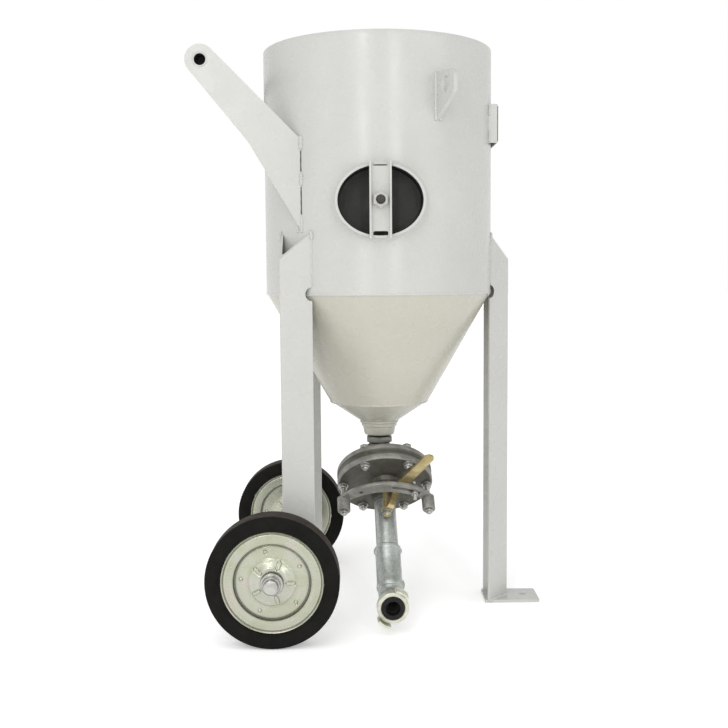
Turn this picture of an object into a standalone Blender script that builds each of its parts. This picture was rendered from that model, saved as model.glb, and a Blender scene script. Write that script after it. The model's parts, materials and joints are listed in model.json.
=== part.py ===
# Portable abrasive blast pot: pressure vessel with cone, three angle-iron legs, two wheels,
# tipping handle, handhole, pop-up filling valve and a lever-worked abrasive metering valve.
# The object's frame: origin under the middle of its box, +Z up, +X to the front foot,
# wheels at -X on a cross axle along Y, handhole facing -Y.
import math

import bmesh
import bpy
from mathutils import Matrix, Vector

# ---------------------------------------------------------------- driving sizes
OVERALL_X = 660.0        # mm, handle tip to foot: every other size follows from it
DRAWN_X = 671.6          # the same length in drawing units, 1.7 % smaller than a millimetre
UNIT = 0.001 * OVERALL_X / DRAWN_X
TANK_X = 14.7            # tank axis, from the middle of the overall box
GAP = 0.3                # clearance between parts that touch

TANK_R = 222.5
WALL = 5.0
RIM_Z = 1091.0
SEAM_Z = 627.0           # cylinder to cone
CONE_END = (98.5, 410.0)
NECK_END = (35.7, 367.5)
SEGS = 48                # sides of the vessel's circles

HEAD_RIM_Z = 1032.0      # where the dished head meets the wall
HEAD_HOLE = (52.0, 980.0)
PLUG_REST_Z = 936.0
AIR_Z = 870.0

HAND_Z = 793.0
HAND_A, HAND_B = 76.0, 62.0
HAND_WALL = 5.0
HAND_FRONT_Y = -235.0

LEG_CORNER = 260.8
LEG_FLANGE = 60.0
LEG_T = 5.0
LEG_TOP = (689.0, 739.0)
LEG_ANGLES = {"leg_front": 0.0, "leg_rear_far": 135.0, "leg_rear_near": 225.0}
REAR_LEG_Z = 92.0
FOOT_T = 6.0

WHEEL_R = 120.0
WHEEL_Y = 266.0
WHEEL_W = 50.0
DISC_R = 92.0
AXLE_X = -197.2
AXLE_R = 12.5
AXLE_END = 316.0

ARM_Y = (165.0, 171.0)
ARM_TIP = (-323.0, 1051.0)
ARM_TIP_R = 27.5
BAR_R = 13.5

VALVE_C = (10.0, -35.0, 242.5)
VALVE_YAW = math.radians(2.5)
FLANGE_R = 95.0
BOLT_R = 83.5
FRONT_T = 14.0
REAR_T = (-37.0, -21.0)
PIPE_E = -35.0
PIPE_R = 21.3
PIPE_BORE = 17.0
LEVER_DEG = 62.0

# ---------------------------------------------------------------- clean start and materials
for old in list(bpy.data.objects):
    bpy.data.objects.remove(old, do_unlink=True)


def material(name, colour, rough, metal):
    mat = bpy.data.materials.new(name)
    mat.use_nodes = True
    shader = mat.node_tree.nodes["Principled BSDF"]
    shader.inputs["Base Color"].default_value = (*colour, 1.0)
    shader.inputs["Roughness"].default_value = rough
    shader.inputs["Metallic"].default_value = metal
    return mat


PAINT = material("paint", (0.67, 0.66, 0.63), 0.45, 0.0)
BLACK_COVER = material("black_cover", (0.03, 0.03, 0.03), 0.5, 0.0)
RUBBER = material("rubber", (0.02, 0.02, 0.02), 0.8, 0.0)
TYRE = material("tyre", (0.015, 0.014, 0.013), 0.75, 0.0)
ZINC_DISC = material("zinc_disc", (0.62, 0.62, 0.52), 0.35, 1.0)
STEEL = material("steel", (0.55, 0.55, 0.55), 0.35, 1.0)
CAST = material("cast", (0.24, 0.22, 0.20), 0.5, 1.0)
GALV = material("galvanised", (0.47, 0.49, 0.49), 0.4, 1.0)
YELLOW_ZINC = material("yellow_zinc", (0.42, 0.31, 0.11), 0.4, 1.0)
PALE_ZINC = material("pale_zinc", (0.55, 0.55, 0.46), 0.45, 1.0)
PLATE = material("plate", (0.12, 0.12, 0.12), 0.4, 0.5)

# ---------------------------------------------------------------- frames
tank = bpy.data.objects.new("tank_axis", None)
tank.location = (TANK_X * UNIT, 0, 0)
bpy.context.collection.objects.link(tank)

valve = bpy.data.objects.new("valve_axis", None)
valve.parent = tank
valve.location = Vector(VALVE_C) * UNIT
valve.rotation_euler = (math.radians(135), 0, VALVE_YAW)
bpy.context.collection.objects.link(valve)

lever_turn = bpy.data.objects.new("lever_axis", None)
lever_turn.parent = valve
lever_turn.rotation_euler = (0, 0, math.radians(LEVER_DEG))
bpy.context.collection.objects.link(lever_turn)

Y_AXIS = (math.radians(90), 0, 0)      # a piece turned about +Z stands along -Y


# ---------------------------------------------------------------- mesh helpers (drawing units in, m out)
def rings_to_mesh(bm, rings, closed):
    """Skin a list of vertex rings; a ring of one vertex is a point on the axis."""
    pairs = list(zip(rings, rings[1:]))
    if closed:
        pairs.append((rings[-1], rings[0]))
    for a, b in pairs:
        n = max(len(a), len(b))
        if len(a) == 1 and len(b) == 1:
            continue
        for i in range(n):
            j = (i + 1) % n
            if len(a) == 1:
                bm.faces.new((a[0], b[j], b[i]))
            elif len(b) == 1:
                bm.faces.new((a[i], a[j], b[0]))
            else:
                bm.faces.new((a[i], a[j], b[j], b[i]))


def place(name, bm, mat, parent=tank, loc=(0, 0, 0), rot=(0, 0, 0)):
    bmesh.ops.recalc_face_normals(bm, faces=bm.faces)
    mesh = bpy.data.meshes.new(name)
    bm.to_mesh(mesh)
    bm.free()
    mesh.transform(Matrix.Scale(UNIT, 4))
    mesh.shade_smooth()
    mesh.set_sharp_from_angle(angle=math.radians(35))
    obj = bpy.data.objects.new(name, mesh)
    obj.data.materials.append(mat)
    obj.parent = parent
    obj.location = Vector(loc) * UNIT
    obj.rotation_euler = rot
    bpy.context.collection.objects.link(obj)
    return obj


def circle(r, n, cx=0.0, cy=0.0, start=0.0):
    return [(cx + r * math.cos(start + 2 * math.pi * i / n),
             cy + r * math.sin(start + 2 * math.pi * i / n)) for i in range(n)]


def ellipse(a, b, n):
    return [(a * math.cos(2 * math.pi * i / n), b * math.sin(2 * math.pi * i / n)) for i in range(n)]


def arc(cx, cy, r, deg0, deg1, n):
    steps = [math.radians(deg0 + (deg1 - deg0) * i / n) for i in range(n + 1)]
    return [(cx + r * math.cos(a), cy + r * math.sin(a)) for a in steps]


def lathe_mesh(profile, segs):
    """Turn a closed (radius, z) outline about the Z axis."""
    bm = bmesh.new()
    rings = []
    for r, z in profile:
        if r == 0:
            rings.append([bm.verts.new((0, 0, z))])
        else:
            rings.append([bm.verts.new((x, y, z)) for x, y in circle(r, segs)])
    rings_to_mesh(bm, rings, closed=True)
    return bm


def lathe(name, profile, mat, segs=SEGS, **where):
    return place(name, lathe_mesh(profile, segs), mat, **where)


def slab_mesh(outline, z0, z1, holes=()):
    """A flat plate from z0 to z1 with any number of holes."""
    bm = bmesh.new()
    caps = ([], [])
    for loop in (outline, *holes):
        low = [bm.verts.new((x, y, z0)) for x, y in loop]
        high = [bm.verts.new((x, y, z1)) for x, y in loop]
        rings_to_mesh(bm, [low, high], closed=False)
        for ring, cap in zip((low, high), caps):
            n = len(ring)
            cap += [bm.edges.get((ring[i], ring[(i + 1) % n])) for i in range(n)]
    for cap in caps:
        bmesh.ops.triangle_fill(bm, use_beauty=True, use_dissolve=False, edges=cap)
    return bm


def slab(name, outline, z0, z1, mat, holes=(), **where):
    return place(name, slab_mesh(outline, z0, z1, holes), mat, **where)


def stack_mesh(stations, n=12):
    """A fastener made of round ('c') and hexagonal ('h') lengths, one above the other."""
    bm = bmesh.new()
    rings = [[bm.verts.new((0, 0, stations[0][2]))]]
    for shape, r, z in stations:
        ring = []
        for i in range(n):
            a = 2 * math.pi * i / n
            k = 1.0
            if shape == "h":
                fold = (a + math.pi / 6) % (math.pi / 3) - math.pi / 6
                k = 1 / math.cos(fold)
            ring.append(bm.verts.new((k * r * math.cos(a), k * r * math.sin(a), z)))
        rings.append(ring)
    rings.append([bm.verts.new((0, 0, stations[-1][2]))])
    rings_to_mesh(bm, rings, closed=False)
    return bm


def stack(name, stations, mat, n=12, **where):
    return place(name, stack_mesh(stations, n), mat, **where)


def pipe_mesh(path, outer, bore, segs=18):
    """A hollow pipe along a path of points; outer gives one radius for each point."""
    bm = bmesh.new()
    points = [Vector(p) for p in path]
    side = Vector((1, 0, 0))
    out_rings, in_rings = [], []
    for i, p in enumerate(points):
        before = (p - points[i - 1]).normalized() if i else None
        after = (points[i + 1] - p).normalized() if i + 1 < len(points) else None
        if before is not None and before.length == 0:
            before = None
        if after is not None and after.length == 0:
            after = None
        along = ((before or after) + (after or before)).normalized()
        up = along.cross(side).normalized()
        ring_out, ring_in = [], []
        for cx, cy in circle(1.0, segs):
            d = side * cx + up * cy
            ring_out.append(bm.verts.new(p + d * outer[i]))
            ring_in.append(bm.verts.new(p + d * bore))
        out_rings.append(ring_out)
        in_rings.append(ring_in)
    rings_to_mesh(bm, out_rings + in_rings[::-1], closed=True)
    return bm


def modify(obj, tool, operation):
    """Apply one exact Boolean and leave the tool object for the caller."""
    mod = obj.modifiers.new(operation, "BOOLEAN")
    mod.operation = operation
    mod.solver = "EXACT"
    mod.object = tool
    bpy.context.view_layer.update()
    graph = bpy.context.evaluated_depsgraph_get()
    mesh = bpy.data.meshes.new_from_object(obj.evaluated_get(graph))
    obj.modifiers.clear()
    obj.data = mesh


def cut(obj, *tools):
    for tool in tools:
        modify(obj, tool, "DIFFERENCE")


def weld(obj, *tools):
    for tool in tools:
        modify(obj, tool, "UNION")


def discard(*tools):
    for tool in tools:
        bpy.data.objects.remove(tool, do_unlink=True)


# ---------------------------------------------------------------- pressure vessel
shell = lathe("vessel_shell", [
    (TANK_R, SEAM_Z + GAP / 2), (TANK_R, RIM_Z - 1), (TANK_R - 1, RIM_Z),
    (TANK_R - WALL + 1, RIM_Z), (TANK_R - WALL, RIM_Z - 1), (TANK_R - WALL, SEAM_Z + GAP / 2)], PAINT)

hand_cutter = slab("hand_cutter", ellipse(HAND_A + HAND_WALL + GAP, HAND_B + HAND_WALL + GAP, 36),
                   150, 260, PAINT, loc=(0, 0, HAND_Z), rot=Y_AXIS)
air_cutter = slab("air_cutter", circle(13.8, 24), 200, 240, PAINT, loc=(0, 0, AIR_Z),
                  rot=(math.radians(-90), 0, 0))
cut(shell, hand_cutter, air_cutter)
discard(hand_cutter, air_cutter)

INNER = TANK_R - WALL - 0.8
HEAD_T = 5.0


def head_z(r):
    """Height of the dished head's upper face, a shallow bowl falling to its middle."""
    k = (r - HEAD_HOLE[0]) / (INNER - HEAD_HOLE[0])
    return HEAD_HOLE[1] + (HEAD_RIM_Z - HEAD_HOLE[1]) * k ** 1.6


head_rs = [HEAD_HOLE[0] + (INNER - HEAD_HOLE[0]) * i / 4 for i in range(5)]
lathe("top_head", [(r, head_z(r)) for r in head_rs] +
      [(r, head_z(r) - HEAD_T) for r in reversed(head_rs)], PAINT, segs=32)

SEAT_TOP = HEAD_HOLE[1] - HEAD_T - GAP - 0.4
lathe("seat_ring", [(46, SEAT_TOP), (58, SEAT_TOP), (58, SEAT_TOP - 9), (40, SEAT_TOP - 9),
                    (40, SEAT_TOP - 7), (46, SEAT_TOP - 7)], STEEL, segs=24)
lathe("seat_seal", [(38, SEAT_TOP), (45.7, SEAT_TOP), (45.7, SEAT_TOP - 6.7), (38, SEAT_TOP - 6.7),
                    (36.5, SEAT_TOP - 3.4)], RUBBER, segs=24)

lathe("popup_plug", [(0, -32), (6, -32), (7, -31), (7, 0), (44, 0), (45, 3), (38, 8.5), (10, 28),
                     (0, 30)], RUBBER, segs=24, loc=(0, 0, PLUG_REST_Z))

air_path = [(0, 222, AIR_Z), (0, 34, AIR_Z)]
air_path += [(0, y, z) for y, z in arc(34, AIR_Z + 34, 34, -90, -180, 4)][1:]
air_path += [(0, 0, PLUG_REST_Z - 0.5)]
place("air_standpipe", pipe_mesh(air_path, [13.5] * len(air_path), 10.5, 14), STEEL)
lathe("air_inlet_socket", [(11, TANK_R + 0.4), (21, TANK_R + 0.4), (21, 250), (20, 251), (12, 251), (11, 250)],
      PAINT, segs=28, loc=(0, 0, AIR_Z), rot=(math.radians(-90), 0, 0))

lathe("main_cone", [(TANK_R, SEAM_Z - GAP / 2), (CONE_END[0], CONE_END[1] + GAP / 2),
                    (CONE_END[0] - 7, CONE_END[1] + GAP / 2), (TANK_R - WALL, SEAM_Z - GAP / 2)], PAINT)
lathe("lower_cone", [(CONE_END[0], CONE_END[1] - GAP / 2), (NECK_END[0], NECK_END[1] + GAP),
                     (NECK_END[0] - 9, NECK_END[1] + GAP), (CONE_END[0] - 7, CONE_END[1] - GAP / 2)], PAINT)
lathe("outlet_socket", [(35.7, 367.5), (35.7, 358), (32.5, 358), (31.5, 350), (29, 341), (21.4, 341),
                        (21.4, 362), (26, 367.5)], PAINT, segs=24)

# ---------------------------------------------------------------- handhole
RING_OUT = ellipse(HAND_A + HAND_WALL, HAND_B + HAND_WALL, 36)
RING_IN = ellipse(HAND_A, HAND_B, 36)
hand = dict(loc=(0, 0, HAND_Z), rot=Y_AXIS)
slab("handhole_ring", RING_OUT, 200, -HAND_FRONT_Y, PAINT, holes=[RING_IN], **hand)
gasket = slab("handhole_gasket", ellipse(84, 70, 28), 196.7, 199.7, RUBBER, holes=[ellipse(74, 60, 28)], **hand)
lining = slab("lining", ellipse(75.4, 61.4, 28), 198, -HAND_FRONT_Y - 5, RUBBER, holes=[ellipse(74, 60, 28)],
              **hand)
weld(gasket, lining)
discard(lining)
slab("handhole_cover", ellipse(86, 72, 28), 190, 196.4, BLACK_COVER, **hand)

BRIDGE_W, BRIDGE_H, BRIDGE_T, BRIDGE_D = 39.5, 135.0, 4.0, 12.0
half = BRIDGE_W / 2
front = -HAND_FRONT_Y + GAP
bridge = slab("handhole_bridge", [
    (-half, front), (half, front), (half, front + BRIDGE_D), (half - BRIDGE_T, front + BRIDGE_D),
    (half - BRIDGE_T, front + BRIDGE_T), (-half + BRIDGE_T, front + BRIDGE_T),
    (-half + BRIDGE_T, front + BRIDGE_D), (-half, front + BRIDGE_D)],
    -BRIDGE_H / 2, BRIDGE_H / 2, PAINT, loc=(0, 0, HAND_Z), rot=(0, 0, math.pi))
bridge_tools = [slab("bridge_tool", circle(9, 24), 225, 260, PAINT, **hand)]
for end in (1, -1):
    lip = end * BRIDGE_H / 2
    notch = [(-15.5, lip + end * 5), (15.5, lip + end * 5), (15.5, lip - end * 3), (11.5, lip - end * 8),
             (-11.5, lip - end * 8), (-15.5, lip - end * 3)]
    bridge_tools.append(slab("bridge_tool", notch, 225, -HAND_FRONT_Y + GAP + BRIDGE_T, PAINT, **hand))
cut(bridge, *bridge_tools)
discard(*bridge_tools)
stack("handhole_stud", [("c", 8, 196.7), ("c", 8, 261), ("c", 7, 262.5)], STEEL, n=16, **hand)
nut = stack("handhole_nut", [("c", 14.5, front + BRIDGE_T + GAP), ("c", 14.5, front + BRIDGE_T + 2.5),
                             ("h", 12, front + BRIDGE_T + 2.5), ("h", 12, front + BRIDGE_T + 14),
                             ("c", 11.5, front + BRIDGE_T + 15.5)], PAINT, **hand)
nut_bore = slab("nut_bore", circle(8.3, 16), 230, 270, PAINT, **hand)
cut(nut, nut_bore)
discard(nut_bore)

# ---------------------------------------------------------------- lifting lugs, rating plate
LUG_IN, LUG_OUT = TANK_R + 0.4, TANK_R + 58.0
lug_outline = [(LUG_IN, 936), (LUG_OUT, 979)] + arc(LUG_OUT - 16, 1003, 16, 0, 90, 6) + [(LUG_IN, 1019)]
for side, name in ((-1, "lifting_lug_near"), (1, "lifting_lug_far")):
    slab(name, lug_outline, -4, 4, PAINT, holes=[circle(14, 24, 254, 995)],
         rot=(math.radians(90), 0, side * math.radians(62)))

U_X, U_T, U_Y = 228.0, 2.0, 73.0
slab("rating_bracket", [(211.6, -U_Y), (U_X, -U_Y), (U_X, U_Y), (211.6, U_Y), (212.4, U_Y - U_T),
                        (U_X - U_T, U_Y - U_T), (U_X - U_T, -U_Y + U_T), (212.4, -U_Y + U_T)],
     911, 984, PAINT)
slab("rating_plate", [(U_X + GAP, -70), (U_X + GAP + 1.5, -70), (U_X + GAP + 1.5, 70), (U_X + GAP, 70)],
     914, 981, PLATE)

# ---------------------------------------------------------------- handle
tx, tz = ARM_TIP
upper = Vector((-146.0 - tx, 911.0 - tz))
upper_deg = math.degrees(math.atan2(upper.y, upper.x)) + 90
lower = Vector((-238.0 - tx, 903.0 - tz))
lower_deg = math.degrees(math.atan2(lower.y, lower.x)) - 90
reach = math.degrees(math.asin(ARM_TIP_R / lower.length))
arm_outline = arc(tx, tz, ARM_TIP_R, upper_deg - 6, lower_deg + 360 - 360 * (lower_deg > 0) + reach, 14)
arm_outline += [(-238, 903), (-142, 740), (-135, 742), (-135, 911), (-146, 911)]
arms = []
for y0, name in ((-ARM_Y[1], "handle_arm_near"), (ARM_Y[0], "handle_arm_far")):
    arms.append(slab(name, arm_outline, -y0 - (ARM_Y[1] - ARM_Y[0]), -y0, PAINT,
                     holes=[circle(BAR_R + GAP, 24, tx, tz)], rot=Y_AXIS))
lathe("handle_bar", [(BAR_R, -ARM_Y[1] - 0.5), (BAR_R, ARM_Y[1] + 0.5), (BAR_R - 3, ARM_Y[1] + 0.5),
                     (BAR_R - 3, -ARM_Y[1] - 0.5)], PAINT, segs=24, loc=(tx, 0, tz), rot=Y_AXIS)

# ---------------------------------------------------------------- legs, foot and axle
legs = []
f = LEG_FLANGE * math.sqrt(0.5)
s = LEG_T * math.sqrt(0.5)
c = LEG_CORNER
leg_outline = [(c, 0), (c - f, f), (c - f - s, f - s), (c - 2 * s, 0), (c - f - s, -f + s), (c - f, -f)]
for name, azimuth in LEG_ANGLES.items():
    bottom = FOOT_T + GAP if name == "leg_front" else REAR_LEG_Z
    bm = slab_mesh(leg_outline, bottom, 760)
    bmesh.ops.bisect_plane(bm, geom=bm.verts[:] + bm.edges[:] + bm.faces[:], clear_outer=True,
                           plane_co=(c, 0, LEG_TOP[0]),
                           plane_no=Vector((LEG_TOP[1] - LEG_TOP[0], 0, f)).normalized())
    bmesh.ops.holes_fill(bm, edges=[e for e in bm.edges if e.is_boundary], sides=0)
    legs.append(place(name, bm, PAINT, rot=(0, 0, math.radians(azimuth))))

relief = [(TANK_R + GAP + 7 * math.cos(a), SEAM_Z + 12.5 * math.sin(a))
          for a in [math.radians(-90 + 22.5 * i) for i in range(9)]]
body_cutter = lathe("body_cutter", [(0, SEAM_Z - 12.5), *relief, (TANK_R + GAP, 1000), (0, 1000)], PAINT)
for piece in legs + arms:
    cut(piece, body_cutter)
discard(body_cutter)

FOOT_END = DRAWN_X / 2 - TANK_X
slab("foot_plate", [(211, -37.5), (FOOT_END - 4, -37.5), (FOOT_END, -33.5), (FOOT_END, 33.5),
                    (FOOT_END - 4, 37.5), (211, 37.5)], 0, FOOT_T, PAINT, holes=[circle(6.5, 20, 292, 0)])
stack("axle", [("c", AXLE_R - 1, -AXLE_END), ("c", AXLE_R, -AXLE_END + 1), ("c", AXLE_R, AXLE_END - 1),
               ("c", AXLE_R - 1, AXLE_END)], STEEL, n=24, loc=(AXLE_X, 0, WHEEL_R), rot=Y_AXIS)

# ---------------------------------------------------------------- wheels
HALF_W = WHEEL_W / 2
tyre_half = [(WHEEL_R, 21), (WHEEL_R - 1.2, 23.8), (WHEEL_R - 4, HALF_W), (DISC_R + 0.9, HALF_W)]
tyre_profile = tyre_half + [(r, -z) for r, z in reversed(tyre_half)]
disc_face = [(18.4, 20.5), (38, 19.0), (44, 15.2), (66, 15.2), (72, 18.5), (DISC_R, 21.5)]
disc_back = [(DISC_R, 0.2), (DISC_R - 2, 0.2), (DISC_R - 2, 19.0), (66, 12.8), (18.4, 12.8)]
for side, tag in ((-1, "near"), (1, "far")):
    spot = (AXLE_X, side * WHEEL_Y, WHEEL_R)
    out = (math.radians(90 if side < 0 else -90), 0, 0)
    back = (math.radians(-90 if side < 0 else 90), 0, 0)
    lathe("tyre_" + tag, tyre_profile, TYRE, segs=36, loc=spot, rot=out)
    lathe("wheel_disc_outer_" + tag, disc_face + disc_back, ZINC_DISC, segs=28, loc=spot, rot=out)
    lathe("wheel_disc_inner_" + tag, disc_face + disc_back, ZINC_DISC, segs=28, loc=spot, rot=back)
    lathe("wheel_hub_" + tag, [(18, -26), (18, 26), (17, 27), (AXLE_R + 0.4, 27), (AXLE_R + 0.4, -27), (17, -27)],
          ZINC_DISC, segs=20, loc=spot, rot=out)
    lathe("axle_collar_" + tag, [(AXLE_R + 0.4, 27.6), (20, 27.6), (20, 31), (16.5, 31), (16.5, 41),
                                 (15.5, 42), (AXLE_R + 0.4, 42)], STEEL, segs=24, loc=spot, rot=out)

# ---------------------------------------------------------------- outlet nipple and metering valve
lathe("nipple", [(21, 302), (21, 357), (20, 358), (17, 358), (17, 302)], STEEL, segs=24)
lock = stack("lock_nut", [("c", 24, 325), ("h", 25, 326), ("h", 25, 336), ("c", 24, 337)], CAST)
lock_bore = slab("bore", circle(21.4, 24), 320, 340, CAST)
cut(lock, lock_bore)
discard(lock_bore)

on_valve = dict(parent=valve)
bolt_holes = [circle(5.6, 8, BOLT_R * math.cos(math.radians(a)), BOLT_R * math.sin(math.radians(a)))
              for a in range(0, 360, 60)]

rear = slab("valve_rear_body", circle(FLANGE_R, 40), *REAR_T, CAST, holes=bolt_holes, **on_valve)
neck_bm = slab_mesh(circle(26, 24), 180, 319)
bmesh.ops.bisect_plane(neck_bm, geom=neck_bm.verts[:] + neck_bm.edges[:] + neck_bm.faces[:],
                       clear_inner=True, plane_co=(VALVE_C[0], VALVE_C[1], VALVE_C[2] + 41),
                       plane_no=Matrix.Rotation(VALVE_YAW, 3, "Z") @ Vector((0, 1, 1)).normalized())
bmesh.ops.holes_fill(neck_bm, edges=[e for e in neck_bm.edges if e.is_boundary], sides=0)
neck = place("neck_tool", neck_bm, CAST)
neck_bore = slab("bore", circle(12, 16), 150, 310, CAST)
neck_socket = slab("bore", circle(21.4, 24), 300, 330, CAST)
weld(rear, neck)
cut(rear, neck_bore, neck_socket)
discard(neck, neck_bore, neck_socket)

slab("valve_gasket", circle(FLANGE_R - 1, 32), REAR_T[1] + GAP, -FRONT_T - GAP, RUBBER,
     holes=[circle(59, 28)] + bolt_holes, **on_valve)
slab("metering_disc", circle(57.5, 28), REAR_T[1] + 0.6, -FRONT_T - 0.6, STEEL,
     holes=[circle(6.3, 20), circle(12, 20, 0, PIPE_E)], **on_valve)

face = slab("valve_front_body", circle(FLANGE_R, 40), -FRONT_T, 0, CAST, holes=bolt_holes, **on_valve)
boss = slab("boss", circle(34, 24), -6, 8, CAST, **on_valve)
spigot = slab("spigot", circle(26, 24, 0, PIPE_E), -6.5, 20, CAST, **on_valve)
spindle_hole = slab("bore", circle(6.3, 20), -30, 30, CAST, **on_valve)
pipe_hole = slab("bore", circle(PIPE_BORE, 20, 0, PIPE_E), -30, 30, CAST, **on_valve)
pipe_seat = slab("bore", circle(PIPE_R + GAP, 24, 0, PIPE_E), 4, 30, CAST, **on_valve)
weld(face, boss, spigot)
cut(face, spindle_hole, pipe_hole, pipe_seat)
discard(boss, spigot, spindle_hole, pipe_hole, pipe_seat)

BOLT_TAIL = [("h", 8.5, -43.8), ("h", 8.5, REAR_T[0] - GAP), ("c", 5, REAR_T[0] - GAP), ("c", 5, GAP),
             ("h", 8, GAP), ("h", 8, 7.5), ("c", 5, 7.5)]
for deg in (60, 120, 240, 300):
    a = math.radians(deg)
    stack("flange_bolt_%d" % deg, BOLT_TAIL + [("c", 5, 10.5), ("c", 4, 11.5)], STEEL, n=12,
          loc=(BOLT_R * math.cos(a), BOLT_R * math.sin(a), 0), **on_valve)
BRACKET_T = (28.0, 35.0)
for x, tag in ((BOLT_R, "right"), (-BOLT_R, "left")):
    stack("bracket_stud_" + tag, BOLT_TAIL + [
        ("c", 5, 60.3), ("h", 7, 60.3), ("h", 7, 65), ("c", 5, 65), ("c", 4.5, 68)],
        STEEL, n=12, loc=(x, 0, 0), **on_valve)

# the arched quadrant plate and its two boss feet
OUT_C, OUT_R = -54.3, 110.3
IN_C, IN_R = -79.8, 106.8
out_deg = math.degrees(math.asin(-OUT_C / OUT_R))
in_deg = math.degrees(math.asin(-IN_C / IN_R))
quad = arc(0, OUT_C, OUT_R, out_deg, 180 - out_deg, 12)
quad += arc(-BOLT_R, 0, 13, 180, 360, 6)[1:-1]
quad += arc(0, IN_C, IN_R, 180 - in_deg, in_deg, 10)
quad += arc(BOLT_R, 0, 13, 180, 360, 6)[1:-1]
SLOT_C, SLOT_R = -64.3, 105.8


def slot_outline(x0, x1, width):
    """A curved slot along the middle line of the quadrant, with round ends."""
    d0 = math.degrees(math.acos(x0 / SLOT_R))
    d1 = math.degrees(math.acos(x1 / SLOT_R))
    pts = arc(0, SLOT_C, SLOT_R + width / 2, d1, d0, 4)
    e0 = (SLOT_R * math.cos(math.radians(d0)), SLOT_C + SLOT_R * math.sin(math.radians(d0)))
    e1 = (SLOT_R * math.cos(math.radians(d1)), SLOT_C + SLOT_R * math.sin(math.radians(d1)))
    pts += arc(*e0, width / 2, d0, d0 + 180, 4)[1:-1]
    pts += arc(0, SLOT_C, SLOT_R - width / 2, d0, d1, 4)
    pts += arc(*e1, width / 2, d1 + 180, d1 + 360, 4)[1:-1]
    return pts


STOP_X = 55.0
STOP_E = SLOT_C + math.sqrt(SLOT_R ** 2 - STOP_X ** 2)
quadrant = slab("quadrant_bracket", quad, *BRACKET_T, CAST,
                holes=[slot_outline(14, 62, 8.4), circle(3.5, 8, -50, 27)], **on_valve)
feet = [slab("foot", circle(12.9, 16, x, 0), 30, 60, CAST, **on_valve) for x in (-BOLT_R, BOLT_R)]
foot_bores = [slab("bore", circle(5.3, 12, x, 0), 20, 64, CAST, **on_valve) for x in (-BOLT_R, BOLT_R)]
weld(quadrant, *feet)
cut(quadrant, *foot_bores)
discard(*feet, *foot_bores)
stack("stop_bolt", [("c", 3, 12), ("c", 3.8, 13), ("c", 3.8, 19.5), ("h", 6.5, 19.5),
                    ("h", 6.5, BRACKET_T[0] - GAP), ("c", 3.8, BRACKET_T[0] - GAP),
                    ("c", 3.8, BRACKET_T[1] + GAP), ("h", 6.5, BRACKET_T[1] + GAP), ("h", 6.5, 41.5),
                    ("c", 3.8, 41.5), ("c", 3.8, 51), ("c", 3, 52)],
      STEEL, n=12, loc=(STOP_X, STOP_E, 0), **on_valve)

# spindle, its nut and the cranked hand lever turn together with the metering disc
stack("spindle", [("c", 5.5, -20.4), ("c", 6, -19.8), ("c", 6, 71), ("c", 5, 72)], YELLOW_ZINC,
      n=20, parent=lever_turn)
spindle_nut = stack("spindle_nut", [("c", 10.5, 61.4), ("c", 10.5, 63), ("h", 8.5, 63), ("h", 8.5, 69.5),
                                    ("c", 8, 70)], STEEL, parent=lever_turn)
lever_tool = slab("bore", circle(6.3, 20), 50, 80, STEEL, parent=lever_turn)

LEVER_T, HUB_R, HUB_T, LEVER_END = 5.0, 11.0, 58.5, 148.5
SIDE = -13.6                        # the arm lies this far beside the spindle's centre
stations = []                       # (u, t of the middle, half width, direction, sideways offset)
for i in range(1, 7):
    a = math.radians(180 - 15 * i)
    stations.append((HUB_R * math.cos(a), HUB_T, HUB_R * math.sin(a), 0.0, 0.0))
stations += [(11, HUB_T, 9.0, 0.0, 0.0), (13.2, HUB_T - 0.6, 7.4, -35.0, -0.4),
             (15.0, HUB_T - 4, 6.6, -82.0, -1.8), (15.8, 30.0, 6.5, -86.0, -11.2),
             (17.0, 24.5, 6.5, -66.0, -12.8), (20.5, 19.9, 7.3, -38.0, -13.4), (26.5, 17.7, 8.2, -8.0, SIDE),
             (45, 17.5, 10.0, 0.0, SIDE), (LEVER_END - 10, 17.5, 10.0, 0.0, SIDE)]
for i in range(1, 6):
    a = math.radians(90 - 15 * i)
    stations.append((LEVER_END - 10 + 10 * math.cos(a), 17.5, 10 * math.sin(a), 0.0, SIDE))
bm = bmesh.new()
rings = []
for u, t, w, deg, v in stations:
    d = math.radians(deg)
    nu, nt = -math.sin(d) * LEVER_T / 2, math.cos(d) * LEVER_T / 2
    rings.append([bm.verts.new(p) for p in ((u + nu, v + w, t + nt), (u + nu, v - w, t + nt),
                                            (u - nu, v - w, t - nt), (u - nu, v + w, t - nt))])
rings_to_mesh(bm, rings, closed=False)
bm.faces.new(rings[0])
bm.faces.new(rings[-1])
lever = place("lever", bm, YELLOW_ZINC, parent=lever_turn)
cut(lever, lever_tool)
cut(spindle_nut, lever_tool)
discard(lever_tool)

# ---------------------------------------------------------------- outlet pipe, elbow and hose coupling
def on_pipe(t):
    """A point on the outlet's middle line, t along it from the valve's face."""
    return (0.0, PIPE_E, t)


JOINT_T, STRAIGHT_END = 124.0, 213.0
place("outlet_pipe", pipe_mesh([on_pipe(4.4), on_pipe(JOINT_T - 0.5)], [PIPE_R] * 2, PIPE_BORE), GALV, **on_valve)

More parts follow.
